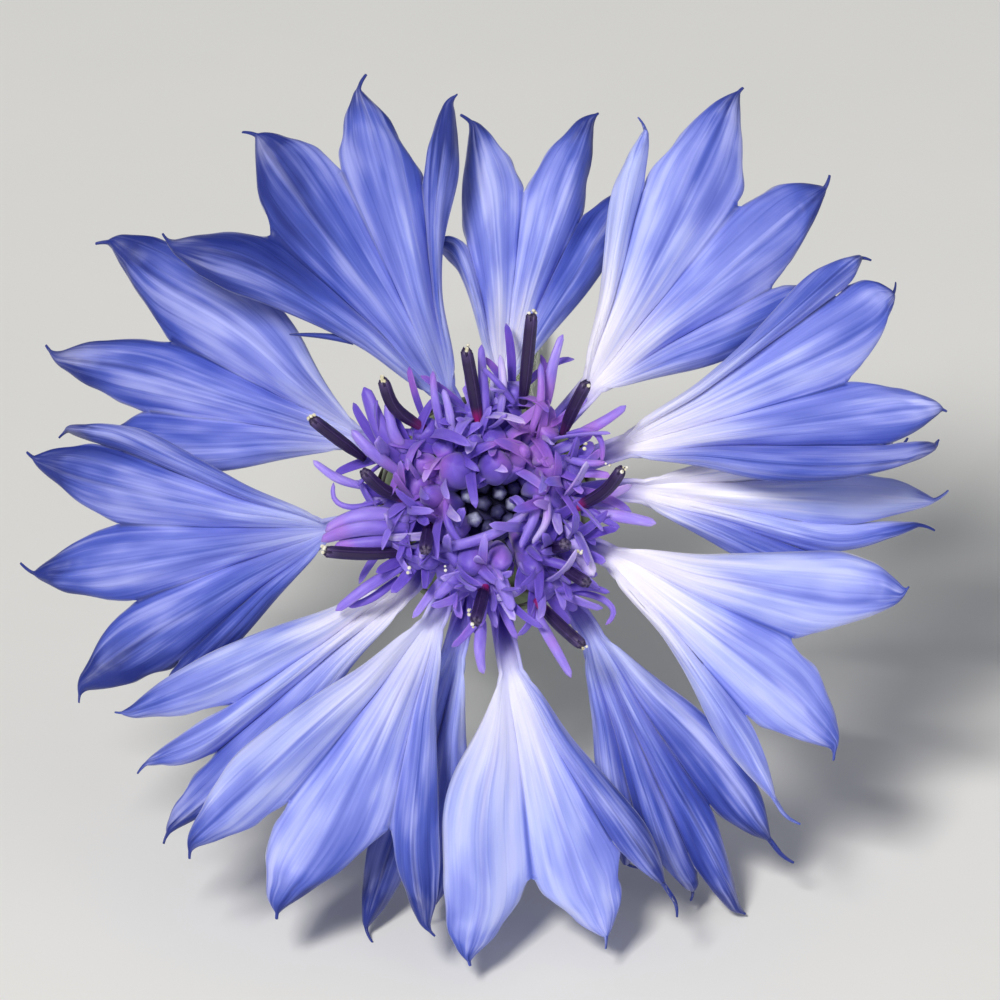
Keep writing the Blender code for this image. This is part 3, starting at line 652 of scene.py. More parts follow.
class Shape:
    """The points and faces of one piece, in the flower's own frame, with traits for its finish."""

    def __init__(self, *traits):
        self.points, self.faces, self.count = [], [], 0
        self.traits = {name: [] for name in traits}

    def add(self, points, **traits):
        """Adds points, and gives their numbers in the same layout."""
        points = np.asarray(points, float)
        layout = points.shape[:-1]
        numbers = self.count + np.arange(np.prod(layout)).reshape(layout)
        self.points.append(points.reshape(-1, 3))
        self.count = int(numbers.max()) + 1
        for name, held in self.traits.items():
            held.append(np.broadcast_to(np.asarray(traits[name], float), layout).ravel())
        return numbers

    def cover(self, numbers):
        """Faces over a layout of rows of points."""
        corners = numbers[:-1, :-1], numbers[:-1, 1:], numbers[1:, 1:], numbers[1:, :-1]
        self.faces += np.stack(corners, axis=-1).reshape(-1, 4).tolist()

    def rod(self, path, side, widths, depths=None, turns=8, ridges=None, dish=0.0, **traits):
        """A tapering rod closed at both ends: round, or oval with depths, or a channel with a dish."""
        path, widths = np.asarray(path, float), np.asarray(widths, float)[:, None]
        depths = widths if depths is None else np.asarray(depths, float)[:, None]
        tangent = np.gradient(path, axis=0)
        tangent /= np.linalg.norm(tangent, axis=1, keepdims=True) + 1e-12
        side = np.broadcast_to(np.asarray(side, float), path.shape)
        side = side - (side * tangent).sum(1, keepdims=True) * tangent
        side /= np.linalg.norm(side, axis=1, keepdims=True) + 1e-12
        depth_way = np.cross(tangent, side)
        angle = round_angles(turns)
        ring = np.ones(turns) if ridges is None else np.asarray(ridges, float)
        across = widths * (np.cos(angle) * ring)
        deep = depths * (np.sin(angle) * ring) + dish * widths * np.cos(angle) ** 2
        points = path[:, None] + side[:, None] * across[..., None] + depth_way[:, None] * deep[..., None]
        along = np.linspace(0, 1, len(path))[:, None]
        given = {"along": along, "round": np.arange(turns) / turns, **traits}
        numbers = self.add(points, **given)
        self.cover(np.concatenate([numbers, numbers[:, :1]], axis=1))
        for row, end in ((0, 0.0), (-1, 1.0)):
            held = {name: np.broadcast_to(value, numbers.shape)[row, 0] for name, value in given.items()}
            held["along"] = end
            centre = int(self.add(path[row], **held))
            rim = numbers[row]
            self.faces += [[int(a), int(b), centre] for a, b in zip(rim, np.roll(rim, -1))]

    def mesh(self, name):
        """The mesh of it, with a trait for each of its points."""
        made = bpy.data.meshes.new(name)
        made.from_pydata(np.concatenate(self.points).tolist(), [], self.faces)
        for trait, held in self.traits.items():
            layer = made.attributes.new(trait, "FLOAT", "POINT")
            layer.data.foreach_set("value", np.concatenate(held).astype(np.float32))
        return made


def laid(name, shape, finish, nodes, thickness=None):
    """Turns a shape into a piece that rides on the flower. A sheet is first given its thickness."""
    mesh = thickened(shape.mesh(name), thickness) if thickness else shape.mesh(name)
    mesh.transform(LAID)
    for point in mesh.vertices:
        point.co.z = max(point.co.z, 0.0)
    work = bmesh.new()
    work.from_mesh(mesh)
    bmesh.ops.recalc_face_normals(work, faces=work.faces)
    work.to_mesh(mesh)
    work.free()
    mesh.shade_smooth()
    mesh.materials.append(finish)
    piece = placed(name, mesh)
    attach(piece, "root")
    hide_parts(*nodes)


def thickened(mesh, thickness):
    """A sheet made solid, with its "thickness" trait as the share of the thickness at each point."""
    shares = np.zeros(len(mesh.vertices), np.float32)
    mesh.attributes["thickness"].data.foreach_get("value", shares)
    sheet = placed(mesh.name, mesh)
    group = sheet.vertex_groups.new(name="thickness")
    for level in np.unique(np.round(shares, 2)):
        group.add(np.flatnonzero(np.round(shares, 2) == level).tolist(), float(level), "REPLACE")
    solid = sheet.modifiers.new("Thickness", "SOLIDIFY")
    solid.thickness = thickness
    solid.offset = 0.0
    solid.vertex_group = group.name
    graph = bpy.context.evaluated_depsgraph_get()
    made = bpy.data.meshes.new_from_object(sheet.evaluated_get(graph))
    bpy.data.objects.remove(sheet)
    made.name = mesh.name
    return made


# ---- ray florets


class Blade:
    """The blade of one ray floret, as a surface that stands over the plane of the head."""

    def __init__(self, index):
        self.index = index
        self.made, self.look = RAY_FLORETS[index], LOOKS[index]
        self.throat = polar(*self.made.throat, LOWEST_THROAT + THROAT_STEP * self.made.tier)
        self.climb = math.radians(LOWEST_CLIMB + CLIMB_STEP * self.made.tier)
        first, last = self.made.clefts[0][0], self.made.clefts[-1][0]
        self.middle = (first + last) / 2
        self.spread = abs(first - last) / 2
        self.way = math.copysign(1, last - first)
        self.lobes = len(self.made.points)
        self.lines = COLUMNS * self.lobes
        heading = polar(self.middle, 1)
        self.left = Vector((heading.y, -heading.x, 0)) * self.way
        self.foot, self.knee = self.seat(index, heading)
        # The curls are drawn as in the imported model.
        curls, draws = random.Random(index), random.Random(BLADE_DRAWS + index)
        self.curls = [curls.uniform(-TIP_CURL, TIP_CURL) for _ in self.made.points]
        self.folds = [draws.uniform(0.75, 1.25) for _ in self.made.points]
        self.leans = [draws.uniform(-0.6, 0.6) for _ in self.made.points]
        self.hooks = [draws.choice((-1, 1)) * draws.uniform(0.3, 1.0) * TIP_HOOK for _ in self.made.points]
        self.creases = [draws.uniform(0.4, 0.62) for _ in self.made.points]
        self.phase = draws.uniform(0, 6)
        drawn = [draws.choice(TAILS) for _ in self.made.points]
        self.tails = [STRANDS.get((index, lobe), tail) for lobe, tail in enumerate(drawn)]

    def seat(self, index, heading):
        """The foot of the tube, half way from its even place to the throat's bearing, and its knee."""
        even = FIRST_FOOT - index * 360 / len(RAY_FLORETS)
        pulled = even + ((self.made.throat[0] - even + 180) % 360 - 180) / 2
        foot = polar(pulled, FOOT_REACH, FOOT_HEIGHT)
        back = heading * math.cos(self.climb) + Vector((0, 0, math.sin(self.climb)))
        return foot, self.throat - back * (self.throat - foot).length * 0.45

    def gutter(self, turn, radius, roll):
        """A point on a rolled section: turn runs from -1 to 1, and roll is half the arc it covers."""
        angle = turn * roll
        return self.left * (-math.sin(angle) * radius), -math.cos(angle) * radius

    def tube_row(self, share):
        """A row round the tube, which opens along its inner side as it nears the throat."""
        centre = self.foot * (1 - share) ** 2 + self.knee * 2 * share * (1 - share) + self.throat * share**2
        radius = mix(FOOT_RADIUS, THROAT_RADIUS, share)
        roll = mix(0.97 * math.pi, 0.5 * math.pi, smooth((share - 0.35) / 0.65))
        row = []
        for line in range(self.lines + 1):
            offset, drop = self.gutter(2 * line / self.lines - 1, radius, roll)
            row.append(centre + offset + Vector((0, 0, drop + radius * 0.5 * share)))
        return row

    def plan_of_fan(self, lobe, step, share):
        """A place in the fan, which is joined from the throat to the clefts, seen from the front."""
        (bearing, reach), (next_bearing, next_reach) = self.made.clefts[lobe : lobe + 2]
        bow = self.way * math.sin(math.pi * share)
        if lobe == 0:
            bearing -= bow * self.made.bows[0]
        if lobe == self.lobes - 1:
            next_bearing += bow * self.made.bows[1]
        far = mix(reach, next_reach, step) * (1 + 0.4 * step * (1 - step)) * share
        turn = 2 * (lobe + step) / self.lobes - 1
        offset, _ = self.gutter(turn, THROAT_RADIUS, 0.5 * math.pi)
        return self.throat + polar(mix(bearing, next_bearing, step), far) + offset * (1 - smooth(far / 5))

    def plan_of_lobe(self, lobe):
        """Places over a whole lobe, as rows from the throat to its point."""
        steps = [step / COLUMNS for step in range(COLUMNS + 1)]
        rows = [[self.plan_of_fan(lobe, s, row / FAN_ROWS) for s in steps] for row in range(FAN_ROWS + 1)]
        base = rows[-1]
        centre = (base[0] + base[-1]) / 2
        tip = self.throat + polar(*self.made.points[lobe])
        sideways = (tip - centre).cross(Vector((0, 0, 1))).normalized()
        for station in range(1, LOBE_ROWS + 1):
            along = free_along(station)
            spine = centre + (tip - centre) * along
            spine += sideways * self.hooks[lobe] * max(0.0, (along - 0.82) / 0.18) ** 2
            bulge = self.look.bulges[lobe]
            ruffle = [noise.noise(Vector((along * 4, 3.3 * lobe + 1.5 * step, self.index))) for step in steps]
            widths = [lobe_width(along, self.tails[lobe], bulge * (1 - 2 * step)) for step in steps]
            widths = [width * (1 + RUFFLE * swing) for width, swing in zip(widths, ruffle)]
            rows.append([spine + (start - centre) * width for start, width in zip(base, widths)])
        plan = np.array(rows)[:, :, :2]
        return self.faired(lobe, plan)

    def faired(self, lobe, plan):
        """The same places, with the lines along the lobe smoothed where it leaves the fan."""
        rows = np.arange(len(plan))
        reach = np.interp(rows, FAIRED_ROWS, (0, 1, 1, 0))[:, None]
        across = np.abs(np.linspace(-1, 1, COLUMNS + 1))
        inner = 1 - across**8
        if lobe == 0:
            inner[: COLUMNS // 2] = 1
        if lobe == self.lobes - 1:
            inner[COLUMNS // 2 :] = 1
        share = (reach * inner)[..., None] * 0.5
        for _ in range(FAIRING):
            middle = (plan[:-2] + plan[2:]) / 2
            plan[1:-1] += (middle - plan[1:-1]) * share[1:-1]
        return plan

    def height(self, plan, lobe, across, along):
        """How high the blade stands over a place in the plane of the head."""
        out = Vector(plan) - self.throat.xy
        reach = out.length
        bearing = math.degrees(math.atan2(out.y, out.x))
        turn = ((bearing - self.middle + 180) % 360 - 180) / self.spread if reach > 1e-6 else 0
        turn = min(1.4, abs(turn))
        height = self.throat.z + reach * math.tan(self.climb)
        height += CUPPING * (reach / 10) ** 1.5 * turn * turn
        width = lobe_width(along, self.tails[lobe])
        fold = PILLOW * self.folds[lobe] * (1 - abs(across) ** 1.7) * width**0.7
        fold -= MIDRIB_DEPTH * bump_at(across, 0, MIDRIB_WIDTH) * (1 - along)
        fold -= CREASE_DEPTH * bump_at(abs(across), self.creases[lobe], CREASE_WIDTH) * (1 - along)
        uneven = noise.noise(Vector((across * 1.6 + 7 * lobe, reach * 0.22, self.index * 3.1)))
        uneven += 0.5 * noise.noise(Vector((across * 4 + 7 * lobe, reach * 0.4, self.index * 5.3)))
        fold += CRUMPLE * uneven * (1 - abs(across) ** 6) * width
        dent = noise.noise(Vector((across * 2.2 + 11 * lobe, reach * 1.3, self.index * 7.7)))
        fold += DENTS * dent * smooth(along * 3 - 0.3) * width**0.5
        height += fold * smooth(reach / 4.5)
        height += self.leans[lobe] * across * smooth(along * 2) * width
        height += 0.06 * math.sin(reach * 1.9 + self.phase + 2 * lobe) * across * across * smooth(reach / 6)
        opened = 1 - smooth(reach / 5)
        _, drop = self.gutter(2 * (lobe + (across + 1) / 2) / self.lobes - 1, THROAT_RADIUS, 0.5 * math.pi)
        height += (drop + THROAT_RADIUS * 0.5) * opened * smooth(1.2 - reach / 5)
        return height + self.curls[lobe] * along * along

    def surface_of_lobe(self, lobe):
        """Points over a whole lobe, as rows from the throat to its point."""
        plan = self.plan_of_lobe(lobe)
        points = np.zeros((*plan.shape[:2], 3))
        points[..., :2] = plan
        for row in range(len(plan)):
            along = free_along(max(0, row - FAN_ROWS))
            for column in range(COLUMNS + 1):
                across = 2 * column / COLUMNS - 1
                points[row, column, 2] = self.height(plan[row, column], lobe, across, along)
        return points


def free_along(station):
    """How far along the free part of a lobe a row of it is."""
    return 1 - (1 - station / LOBE_ROWS) ** 1.25


def lobe_width(along, tail, bulge=0.0):
    """Width of a lobe's free part, as a share of its width at the clefts: an arch with a tail."""
    arch = min(1.0, along / (1 - tail))
    return mix(END_WIDTH, 1.0, 0.95 * (1 - arch ** (1.85 + 0.75 * bulge)) + 0.05 * (1 - along))


def tooth(blade, add, shape, foot, point, half_width):
    """A narrow tooth that leaves the margin of a blade."""
    foot, point = Vector(foot), Vector(point)
    sideways = Vector((-(point - foot).y, (point - foot).x)).normalized()
    height = blade.height(foot, 0, -1, 0)
    t = np.linspace(0, 1, 9)
    rows = []
    for share in t:
        middle = foot.lerp(point, share) + sideways * 0.35 * share * share
        half = sideways * half_width * (1 - share) ** 0.7
        lift = height + 0.5 * share
        rows.append([(*(middle + half * side), lift + 0.08 * (1 - abs(side))) for side in (-1, 0, 1)])
    tip = 0.05 + t[:, None] * 0.3
    shape.cover(add(rows, np.array((0.05, 0.1, 0.15)), 1.0 + tip * 0.4, tip, np.array((1.0, 0.0, 1.0))))


def ray_floret(index, finish):
    """One ray floret: the rows of its tube and fan, then the rows of each lobe."""
    blade = Blade(index)
    shape = Shape("lobe", "reach", "tip", "tone", "pale", "deep", "inner", "thickness")
    centres = np.arange(blade.lobes) + 0.5
    lobes = [blade.surface_of_lobe(lobe) for lobe in range(blade.lobes)]

    def add(rows, lobe, reach, tip, margins):
        thin = (1 - (1 - MARGIN_THIN) * margins) * (1 - 0.6 * np.clip(tip * 4 - 3, 0, 1))
        # The depth of blue carries painted light and shade as well as the lobe's own colour.
        deep = np.interp(lobe, centres, blade.look.deeps)
        inner = np.clip(2 * np.minimum(lobe, blade.lobes - lobe), 0, 1) * (np.asarray(tip) == 0)
        hues = {"tone": index * 1.7, "pale": blade.look.pale, "deep": deep, "inner": inner, "thickness": thin}
        return shape.add(np.array(rows), lobe=lobe + 10 * index, reach=reach, tip=tip, **hues)

    tube = [blade.tube_row(step / TUBE_ROWS) for step in range(TUBE_ROWS)]
    fan = np.concatenate([lobe[: FAN_ROWS + 1, int(k > 0) :] for k, lobe in enumerate(lobes)], axis=1)
    reach = np.concatenate([np.linspace(-0.6, 0, TUBE_ROWS, endpoint=False), np.linspace(0, 1, FAN_ROWS + 1)])
    outer = np.zeros(blade.lines + 1)
    outer[[0, -1]] = 1
    steps = np.arange(blade.lines + 1) / COLUMNS
    numbers = add([*tube, *fan], steps, reach[:, None], 0.0, outer)
    shape.cover(numbers)
    margins = np.zeros(COLUMNS + 1)
    margins[[0, -1]] = 1
    tip = np.linspace(0, 1, LOBE_ROWS + 1)[1:, None]
    for lobe, points in enumerate(lobes):
        first = lobe * COLUMNS
        steps = lobe + np.clip(np.arange(COLUMNS + 1) / COLUMNS, 0.001, 0.999)
        free = add(points[FAN_ROWS + 1 :], steps, 1 + tip * 0.6, tip, margins)
        shape.cover(np.concatenate([numbers[-1:, first : first + COLUMNS + 1], free]))
    for owner, foot, point, half_width in TEETH:
        if owner == index:
            tooth(blade, add, shape, foot, point, half_width)
    number = f"{index + 1:02d}"
    laid("ray_blade_" + number, shape, finish, ["ray_floret_" + number], BLADE_THICK)


# ---- disc florets


def around(axis):
    """Two directions at right angles to an axis and to each other."""
    helper = Vector((0, 0, 1)) if abs(axis.z) < 0.95 else Vector((1, 0, 0))
    side = axis.cross(helper).normalized()
    return side, side.cross(axis)


def curled(start, direction, bend_way, length, first, total, stations=14):
    """A path that leaves start at an angle from direction and curls over towards bend_way."""
    path = [start]
    for step in range(1, stations):
        angle = math.radians(first + total * (step / stations) ** 1.3)
        path.append(path[-1] + turned(direction, bend_way, angle) * (length / (stations - 1)))
    return path


def rounded(stops, stations=18):
    """An even path through some stops, with its corners rounded off."""
    stops = np.array(stops, float)
    reach = np.concatenate([[0], np.cumsum(np.linalg.norm(np.diff(stops, axis=0), axis=1))])
    at = np.linspace(0, reach[-1], stations)
    path = np.stack([np.interp(at, reach, stops[:, k]) for k in range(3)], axis=1)
    for _ in range(8):
        path[1:-1] = (path[:-2] + path[2:]) / 2
    return path


def ribbon(shape, path, side, half_width, tone, point):
    """A narrow lobe with a channel section; point is the share of it that draws in at its end."""
    t = np.linspace(0, 1, len(path))
    end = np.sqrt(1 - np.clip((t - 1 + point) / point, 0, 0.985) ** 2)
    widths = half_width * (0.72 + 0.34 * np.sin(t**0.8 * math.pi)) * end
    shape.rod(path, side, widths, LOBE_THICK * end + 0.02, turns=12, dish=0.35, tone=tone)


def corolla(shape, root, limb, axis, draws, swells, lobe_length, curl):
    """One disc floret's corolla: a slim tube that swells into a limb and splits into narrow lobes."""
    swell = draws.uniform(*swells)
    side, up = around(axis)
    t = np.linspace(0, 1, 12)
    stalk = [root * (1 - s) ** 2 + (limb - axis * 1.6) * 2 * s * (1 - s) + limb * s * s for s in t]
    mouth = [limb + axis * d for d in (0.3, 0.6, 0.85)]
    radii = [mix(TUBE_RADIUS, swell, smooth(s)) for s in t] + [swell * 1.04, swell, swell * 0.9]
    tone = draws.uniform(0, 0.4)
    shape.rod(stalk + mouth, side, radii, turns=20, ridges=ridged(20, LOBES, 0.07), tone=tone)
    start = draws.uniform(0, LOBE_TURN)
    for number in range(LOBES):
        turn = math.radians(start + LOBE_TURN * number + draws.uniform(-16, 16))
        away = turned(side, up, turn)
        foot = limb + axis * 0.35 + away * swell * 0.7
        length = lobe_length * draws.uniform(0.7, 1.25)
        first, total = draws.uniform(20, 60), draws.uniform(*curl)
        if draws.random() < 0.1:
            total = draws.uniform(220, 300)
        path = curled(foot, axis, away, length, first, total)
        across = axis.cross(away) + away * draws.uniform(-0.5, 0.5)
        half_width = draws.uniform(*LOBE_HALF_WIDTHS)
        tone = 0.9 * draws.random() ** 1.6
        ribbon(shape, path, across, half_width, tone, draws.uniform(0.08, 0.22))


def round_limb(shape, top, radius, length, tone):
    """A floret's limb before its lobes part: a smooth blunt bud on a slim tube."""
    top = Vector(top)
    out = Vector((top.x, top.y, 0)) * 0.35
    t = np.linspace(0, 1, 18)
    path = [top - Vector((0, 0, (1 - s) * length)) - out * (1 - s) for s in t]
    radii = radius * np.interp(t, (0, 0.35, 0.6), (0.4, 0.85, 1))
    radii = radii * np.sqrt(1 - np.clip((t - 0.6) / 0.4, 0, 0.99) ** 2)
    shape.rod(path, (1, 0, 0), radii, turns=30, ridges=ridged(30, LOBES, 0.03), tone=tone)


def anther(shape, pollen, stops, grains, flush, draws):
    """One anther tube: five fused anthers with a toothed end, where pollen clings."""
    path = [Vector(point) for point in rounded(stops)]
    axis = (path[-1] - path[-3]).normalized()
    side, up = around(axis)
    t = np.linspace(0, 1, len(path))
    shares = np.interp(t, (0, 0.12, 0.3, 0.5, 0.85, 0.95, 1), (0.6, 0.72, 0.92, 1.0, 1.0, 0.95, 0.7))
    radii = ANTHER_RADIUS * shares
    ridges = 1 + 0.07 * np.abs(np.cos(2.5 * round_angles(20)))
    shape.rod(path, side, radii, turns=20, ridges=ridges, flush=flush)
    end = path[-1]
    for number in range(LOBES):
        away = turned(side, up, math.radians(LOBE_TURN * number + 20))
        start = end - axis * 0.25 + away * 0.2
        spike = [start, start + axis * 0.2 + away * 0.02, start + axis * 0.38 - away * 0.06]
        shape.rod(spike, side, (0.1, 0.08, 0.02), turns=6, flush=0.0)
    for _ in range(grains):
        aside, over = [draws.uniform(-0.22, 0.22) for _ in range(2)]
        place = end + axis * draws.uniform(0, 0.2) + side * aside + up * over
        grain(pollen, place, draws.uniform(0.07, 0.12))


def grain(shape, at, radius):
    """A grain of pollen, a little longer than wide."""
    t = np.linspace(0.02, 0.98, 6)
    path = [at + Vector((0, 0, (s - 0.5) * 2.3 * radius)) for s in t]
    radii = radius * np.sqrt(1 - (2 * t - 1) ** 2)
    shape.rod(path, (1, 0, 0), radii)


def centre_bud(shape, x, y, paleness, draws):
    """An unopened disc floret, closed to a blunt point."""
    top = Vector((x, y, BUD_TOP + draws.uniform(-0.3, 0.1) + 0.7 * paleness))
    root = Vector((x * 0.8, y * 0.8, BUD_TOP - BUD_LENGTH))
    t = np.linspace(0, 1, 14)
    path = [root + (top - root) * s for s in t]
    radii = np.interp(t, (0, 0.5, 0.8, 0.93, 1), (0.25, 0.36, 0.38, 0.26, 0.08))
    shape.rod(path, (1, 0, 0), radii, turns=20, ridges=ridged(20, LOBES, 0.08), tone=paleness)


def disc(finishes):
    """The whole disc: corollas, anther tubes, pollen and the buds in its middle."""
    draws = random.Random(DISC_DRAWS)
    violet = Shape("along", "round", "tone")
    dark = Shape("along", "round", "flush")
    pollen = Shape()
    buds = Shape("along", "tone")
    tips = [polar(bearing, reach, ANTHER_TIP[0] - ANTHER_TIP[1] * reach) for bearing, reach in DISC_FLORETS]
    for tip, (bearing, reach) in zip(tips, DISC_FLORETS):
        root = polar(bearing, min(DISC_ROOT[0] * reach, DISC_ROOT[1]), DISC_ROOT[2])
        limb = polar(bearing, DISC_SWELL[0] * reach, DISC_SWELL[1])
        axis = (tip - limb).normalized()
        corolla(violet, root, limb, axis, draws, *OUTER_COROLLA)
    for index, foot, bend, grains, flush in ANTHER_TUBES:
        tip = tips[index]
        stops = (*foot, 5.5), (*bend, 5.9 + 0.5 * (tip.z - 5.9)), tip
        anther(dark, pollen, stops, grains, flush, draws)
    for count, reach, height in INNER_FLORETS:
        for step in range(count):
            bearing = 360 * step / count + draws.uniform(-9, 9) + reach * 17
            stretched = reach * (1 + HOLLOW_STRETCH * math.cos(math.radians(bearing)) ** 2)
            limb = polar(bearing, stretched * draws.uniform(0.97, 1.1), height + draws.uniform(-0.1, 0.25))
            axis = (polar(bearing, 0.7) + Vector((0, 0, 1))).normalized()
            root = polar(bearing, reach * 0.6, 1.8)
            corolla(violet, root, limb, axis, draws, *INNER_COROLLA)
    for stops, half_width, tone in LONG_LOBES:
        path = rounded(stops)
        across = np.cross(np.gradient(path, axis=0), (0, 0, 1))
        tilt = np.linspace(draws.uniform(-0.3, 0.3), draws.uniform(-0.9, 0.9), len(path))
        across /= np.linalg.norm(across, axis=1, keepdims=True)
        across[:, 2] += tilt
        ribbon(violet, path, across, half_width, tone, 0.1)
    for top, radius, length in ROUND_LIMBS:
        round_limb(violet, top, radius, length, draws.uniform(0.0, 0.3))
    path = rounded(SIDE_LIMB)
    t = np.linspace(0, 1, len(path))
    radii = np.interp(t, (0, 0.35, 0.75, 0.93, 1), (0.3, 0.5, 0.5, 0.35, 0.1))
    violet.rod(path, (0, 1, 0), radii, radii * 0.7, turns=24, tone=0.2)
    for place in LOOSE_POLLEN:
        for _ in range(draws.randint(2, 4)):
            spread = Vector([draws.uniform(-0.16, 0.16) for _ in range(3)])
            grain(pollen, Vector(place) + spread, draws.uniform(0.06, 0.11))
    for x, y, paleness in CENTRE_BUDS:
        centre_bud(buds, x, y, paleness, draws)
    # A dark core under the buds: painted shade in the hollow.
    core = [(0, 0, height) for height in np.linspace(*CORE_HEIGHTS, 10)]
    radii = np.linspace(*CORE_RADII, 10)
    buds.rod(core, (1, 0, 0), radii, turns=32, tone=0.0)
    for name, shape, finish in (
        ("disc_corollas", violet, "violet"),
        ("anther_tubes", dark, "anther"),
        ("pollen_grains", pollen, "pollen"),
        ("centre_buds", buds, "bud"),
    ):
        laid(name, shape, finishes[finish], ["disc_florets"])


# ---- involucre


def cup_outline():
    """Heights and radii of the involucre's body, with the corners of CUP_PROFILE rounded off."""
    corners = np.array(CUP_PROFILE[::-1])
    heights = np.linspace(corners[0, 1], corners[-1, 1], 69)
    radii = np.interp(heights, corners[:, 1], corners[:, 0])
    for _ in range(CUP_ROUNDING):
        radii[1:-1] = (radii[:-2] + 2 * radii[1:-1] + radii[2:]) / 4
    return heights, radii


CUP_OUTLINE = cup_outline()


def cup_radius(height):
    """Radius of the involucre's body at a height."""
    return float(np.interp(height, *CUP_OUTLINE))


def scale_width(along):
    """Width of a bract as a share of its widest."""
    foot = mix(0.62, 1.0, smooth(along * 2.2))
    drawn_in = max(0.0, (along - 0.42) / 0.58) ** 1.7
    return foot * max(0.0, 1 - drawn_in) ** 0.85 + 0.02


def bract_point(bearing, foot, length, half_width, along, across):
    """A point of a bract that lies against the cup and lifts a little towards its tip."""
    height = foot + length * along
    radius = cup_radius(height)
    proud = np.interp(along, (0.0, 0.5, 1.0), (0.02, 0.34, 0.46))
    turn = math.degrees(across * scale_width(along) * half_width / radius)
    return polar(bearing + turn, radius + proud - BRACT_BOW * across * across, height)


def bract(shape, fringe, bearing, foot, length, half_width, draws):
    """One bract, and the dark fringe of teeth round its upper margin."""

    def at(along, across):
        return bract_point(bearing, foot, length, half_width, along, across)

    stations = np.linspace(0, 1, 17)
    sides = np.linspace(-1, 1, 13)
    rows = [[at(along, across) for across in sides] for along in stations]
    edge = np.abs(sides)[None] * np.interp(stations, (0, 0.4, 0.7), (0.4, 0.85, 1.0))[:, None]
    edge = np.maximum(edge, np.interp(stations, (0, 0.8, 0.97), (0, 0.3, 1.0))[:, None])
    numbers = shape.add(np.array(rows), along=stations[:, None], round=sides / 2, edge=edge, thickness=1.0)
    shape.cover(numbers)
    for s in (-1, 1):
        for along in FRINGE_PLACES:
            root = at(along, s * 0.93)
            ahead = at(min(1.0, along + 0.1), s * 0.93) - root
            out = at(along, s * 1.3) - root
            heading = (ahead.normalized() * 0.9 + out.normalized()).normalized()
            away = Vector((root.x, root.y, 0)).normalized()
            size = draws.uniform(*FRINGE_LENGTHS)
            path = [root, root + heading * size * 0.5 + away * 0.03, root + heading * size + away * 0.1]
            fringe.rod(path, heading.cross(away), [0.055, 0.04, 0.008], [0.03, 0.02, 0.006], turns=5)


def involucre(finishes):
    """The cup, its overlapping bracts and their dark fringes."""
    draws = random.Random(BRACT_DRAWS)
    teeth = random.Random(FRINGE_DRAWS)
    scales = Shape("along", "round", "edge", "thickness")
    fringe = Shape("along")
    for row, (count, foot, length, half_width) in enumerate(BRACT_ROWS):
        for step in range(count):
            bearing = (step + 0.5 * (row % 2)) * 360 / count + 7 * row + draws.uniform(-3, 3)
            bract(scales, fringe, bearing, foot, length * draws.uniform(0.93, 1.05), half_width, teeth)
    body = Shape("along", "round", "edge")
    path = [(0, 0, height) for height in np.linspace(CUP_FOOT, 0, 28)]
    radii = [cup_radius(height) for _, _, height in path]
    body.rod(path, (1, 0, 0), radii, turns=48, edge=0.0)
    for name, shape, finish, thickness in (
        ("involucre_cup", body, "bract", None),
        ("involucre_bracts", scales, "bract", BRACT_THICK),
        ("bract_fringes", fringe, "fringe", None),
    ):
        laid(name, shape, finishes[finish], ["involucre"], thickness)


# ---- stem


def stem_point(share):
    """A point of the stem's middle line, which bends away from the axis."""
    return Vector((STEM_SWAY[0] * share**2, STEM_SWAY[1] * share**2, STEM_TOP - STEM_LENGTH * share))


def stem_radius(share):
    """Radius of the stem, which flares where it goes into the cup."""
    flare = max(0.0, 1 - (share - NECK_SINK) / FLARE_LENGTH) ** 2
    return mix(STEM_NECK_RADIUS, STEM_RADIUS, smooth(share * 5)) + NECK_FLARE * flare


def ribbed_stem(finish):
    """The ribbed stem, with pith and a ring of bundles in its cut face."""
    shape = Shape("along", "east", "north", "rib", "cut", "bundle")
    turn = round_angles(STEM_SIDES)
    rib = np.abs(np.cos(STEM_RIBS / 2 * turn))
    sides = np.linspace(NECK_SINK, 1, 90)
    within = np.concatenate([np.ones(len(sides)), CUT_RINGS])
    shares = np.concatenate([sides, 1 + CUT_DOME * (1 - np.array(CUT_RINGS))])
    path = [stem_point(s) for s in shares]
    radii = [stem_radius(s) * size for s, size in zip(shares, within)]
    cut = (within < 1)[:, None]
    bundle = np.interp(within, (0.5, 0.7, 0.8, 0.88, 0.95), (0, 1, 1, 0.1, 0.6))[:, None]
    bundle = bundle * np.maximum(np.abs(np.cos(STEM_RIBS * turn)) ** 1.5, within[:, None] > 0.9)
    around_it = {"east": np.cos(turn), "north": np.sin(turn), "rib": rib, "cut": cut, "bundle": bundle}
    shape.rod(path, (1, 0, 0), radii, turns=STEM_SIDES, ridges=1 - 0.05 * (1 - rib), **around_it)
    laid("stem_ribbed", shape, finish, ["stem"])


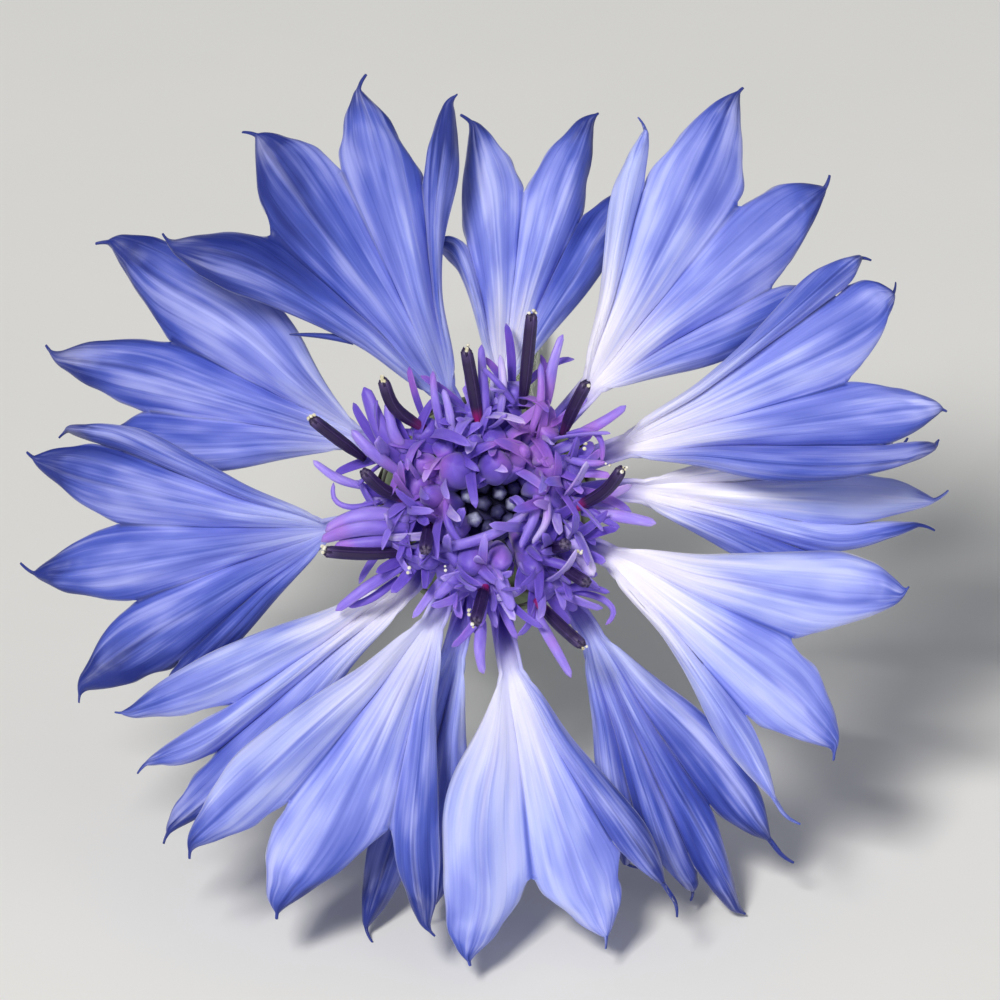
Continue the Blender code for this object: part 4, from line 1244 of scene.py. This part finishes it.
def stem_wool(finish):
    """The thin wool on the stem: fine hairs that lie along it, up or down."""
    draws = random.Random(WOOL_DRAWS)
    wool = Shape("tone")
    for _ in range(WOOL_HAIRS):
        share = draws.uniform(0.0, WOOL_END)
        turn = draws.uniform(0, 2 * math.pi)
        centre = stem_point(share)
        down = (stem_point(share + 0.01) - centre).normalized()
        side, up = around(down)
        away = turned(side, up, turn)
        root = centre + away * stem_radius(share) * 0.95
        over = away.cross(down)
        lying = (down * draws.choice((-1, 1)) + over * draws.uniform(-0.7, 0.7)).normalized()
        size, sway = draws.uniform(*WOOL_LENGTHS), draws.uniform(-0.25, 0.25)
        path = [
            root,
            root + away * 0.1 + lying * size * 0.3 + over * sway * 0.6,
            root + away * draws.uniform(0.06, 0.16) + lying * size * 0.65 + over * sway,
            root + away * draws.uniform(0.02, 0.2) + lying * size,
        ]
        wool.rod(path, away.cross(lying), WOOL_RADII, turns=3, tone=draws.random())
    laid("stem_wool", wool, finish, ["stem"])


# ---- floor, light and camera


def floor():
    """The floor that the flower lies on, which stays out of the part."""
    mesh = bpy.data.meshes.new("floor")
    shape = bmesh.new()
    bmesh.ops.create_grid(shape, x_segments=1, y_segments=1, size=FLOOR_HALF)
    shape.to_mesh(mesh)
    shape.free()
    mesh.materials.append(floor_finish())
    plane = placed("floor", mesh)


def softbox(name, toward, distance, size, power, colour):
    """A square area light that looks at the head."""
    lamp = bpy.data.lights.new(name, "AREA")
    lamp.shape = "SQUARE"
    lamp.size = size
    lamp.energy = power
    lamp.color = colour
    light = placed(name, lamp)
    light.location = HEAD * MM + toward.normalized() * distance
    light.rotation_euler = toward.to_track_quat("Z", "Y").to_euler()
    light.visible_camera = False


def lights():
    """A key light from the upper left of the view, a fill from the right and a soft room."""
    right, top, view = ((TURN @ Vector(way)).normalized() for way in ((1, 0, 0), (0, 1, 0), (0, 0, 1)))
    softbox("key_light", view * 0.9 + top * 0.32 - right * 0.28, **KEY_LIGHT)
    softbox("fill_light", view + right * 0.8 - top * 0.1, **FILL_LIGHT)
    world = bpy.data.worlds.new("soft_room")
    world.use_nodes = True
    background = world.node_tree.nodes["Background"]
    background.inputs["Color"].default_value = ROOM_COLOUR
    background.inputs["Strength"].default_value = ROOM_STRENGTH
    bpy.context.scene.world = world
    bpy.context.scene.view_settings.view_transform = "Standard"


def camera():
    """A long lens that looks down the head's axis."""
    data = bpy.data.cameras.new("camera")
    data.sensor_width = 36.0
    data.lens = data.sensor_width * CAMERA_DISTANCE / FRAME_WIDTH
    data.clip_start = 0.01
    made = placed("camera", data)
    aim = LAID @ Vector(CAMERA_AIM)
    made.matrix_world = Matrix.Translation(aim + (TURN @ Vector((0, 0, CAMERA_DISTANCE)))) @ TURN
    bpy.context.scene.camera = made


def main():
    """Everything in the scene, piece by piece."""
    petal = petal_finish()
    for index in range(len(RAY_FLORETS)):
        ray_floret(index, petal)
    disc({"violet": disc_finish(), "anther": anther_finish(), "pollen": pollen_finish(), "bud": bud_finish()})
    involucre({"bract": bract_finish(), "fringe": fringe_finish()})
    ribbed_stem(stem_finish())
    stem_wool(wool_finish())
    floor()
    lights()
    camera()


main()
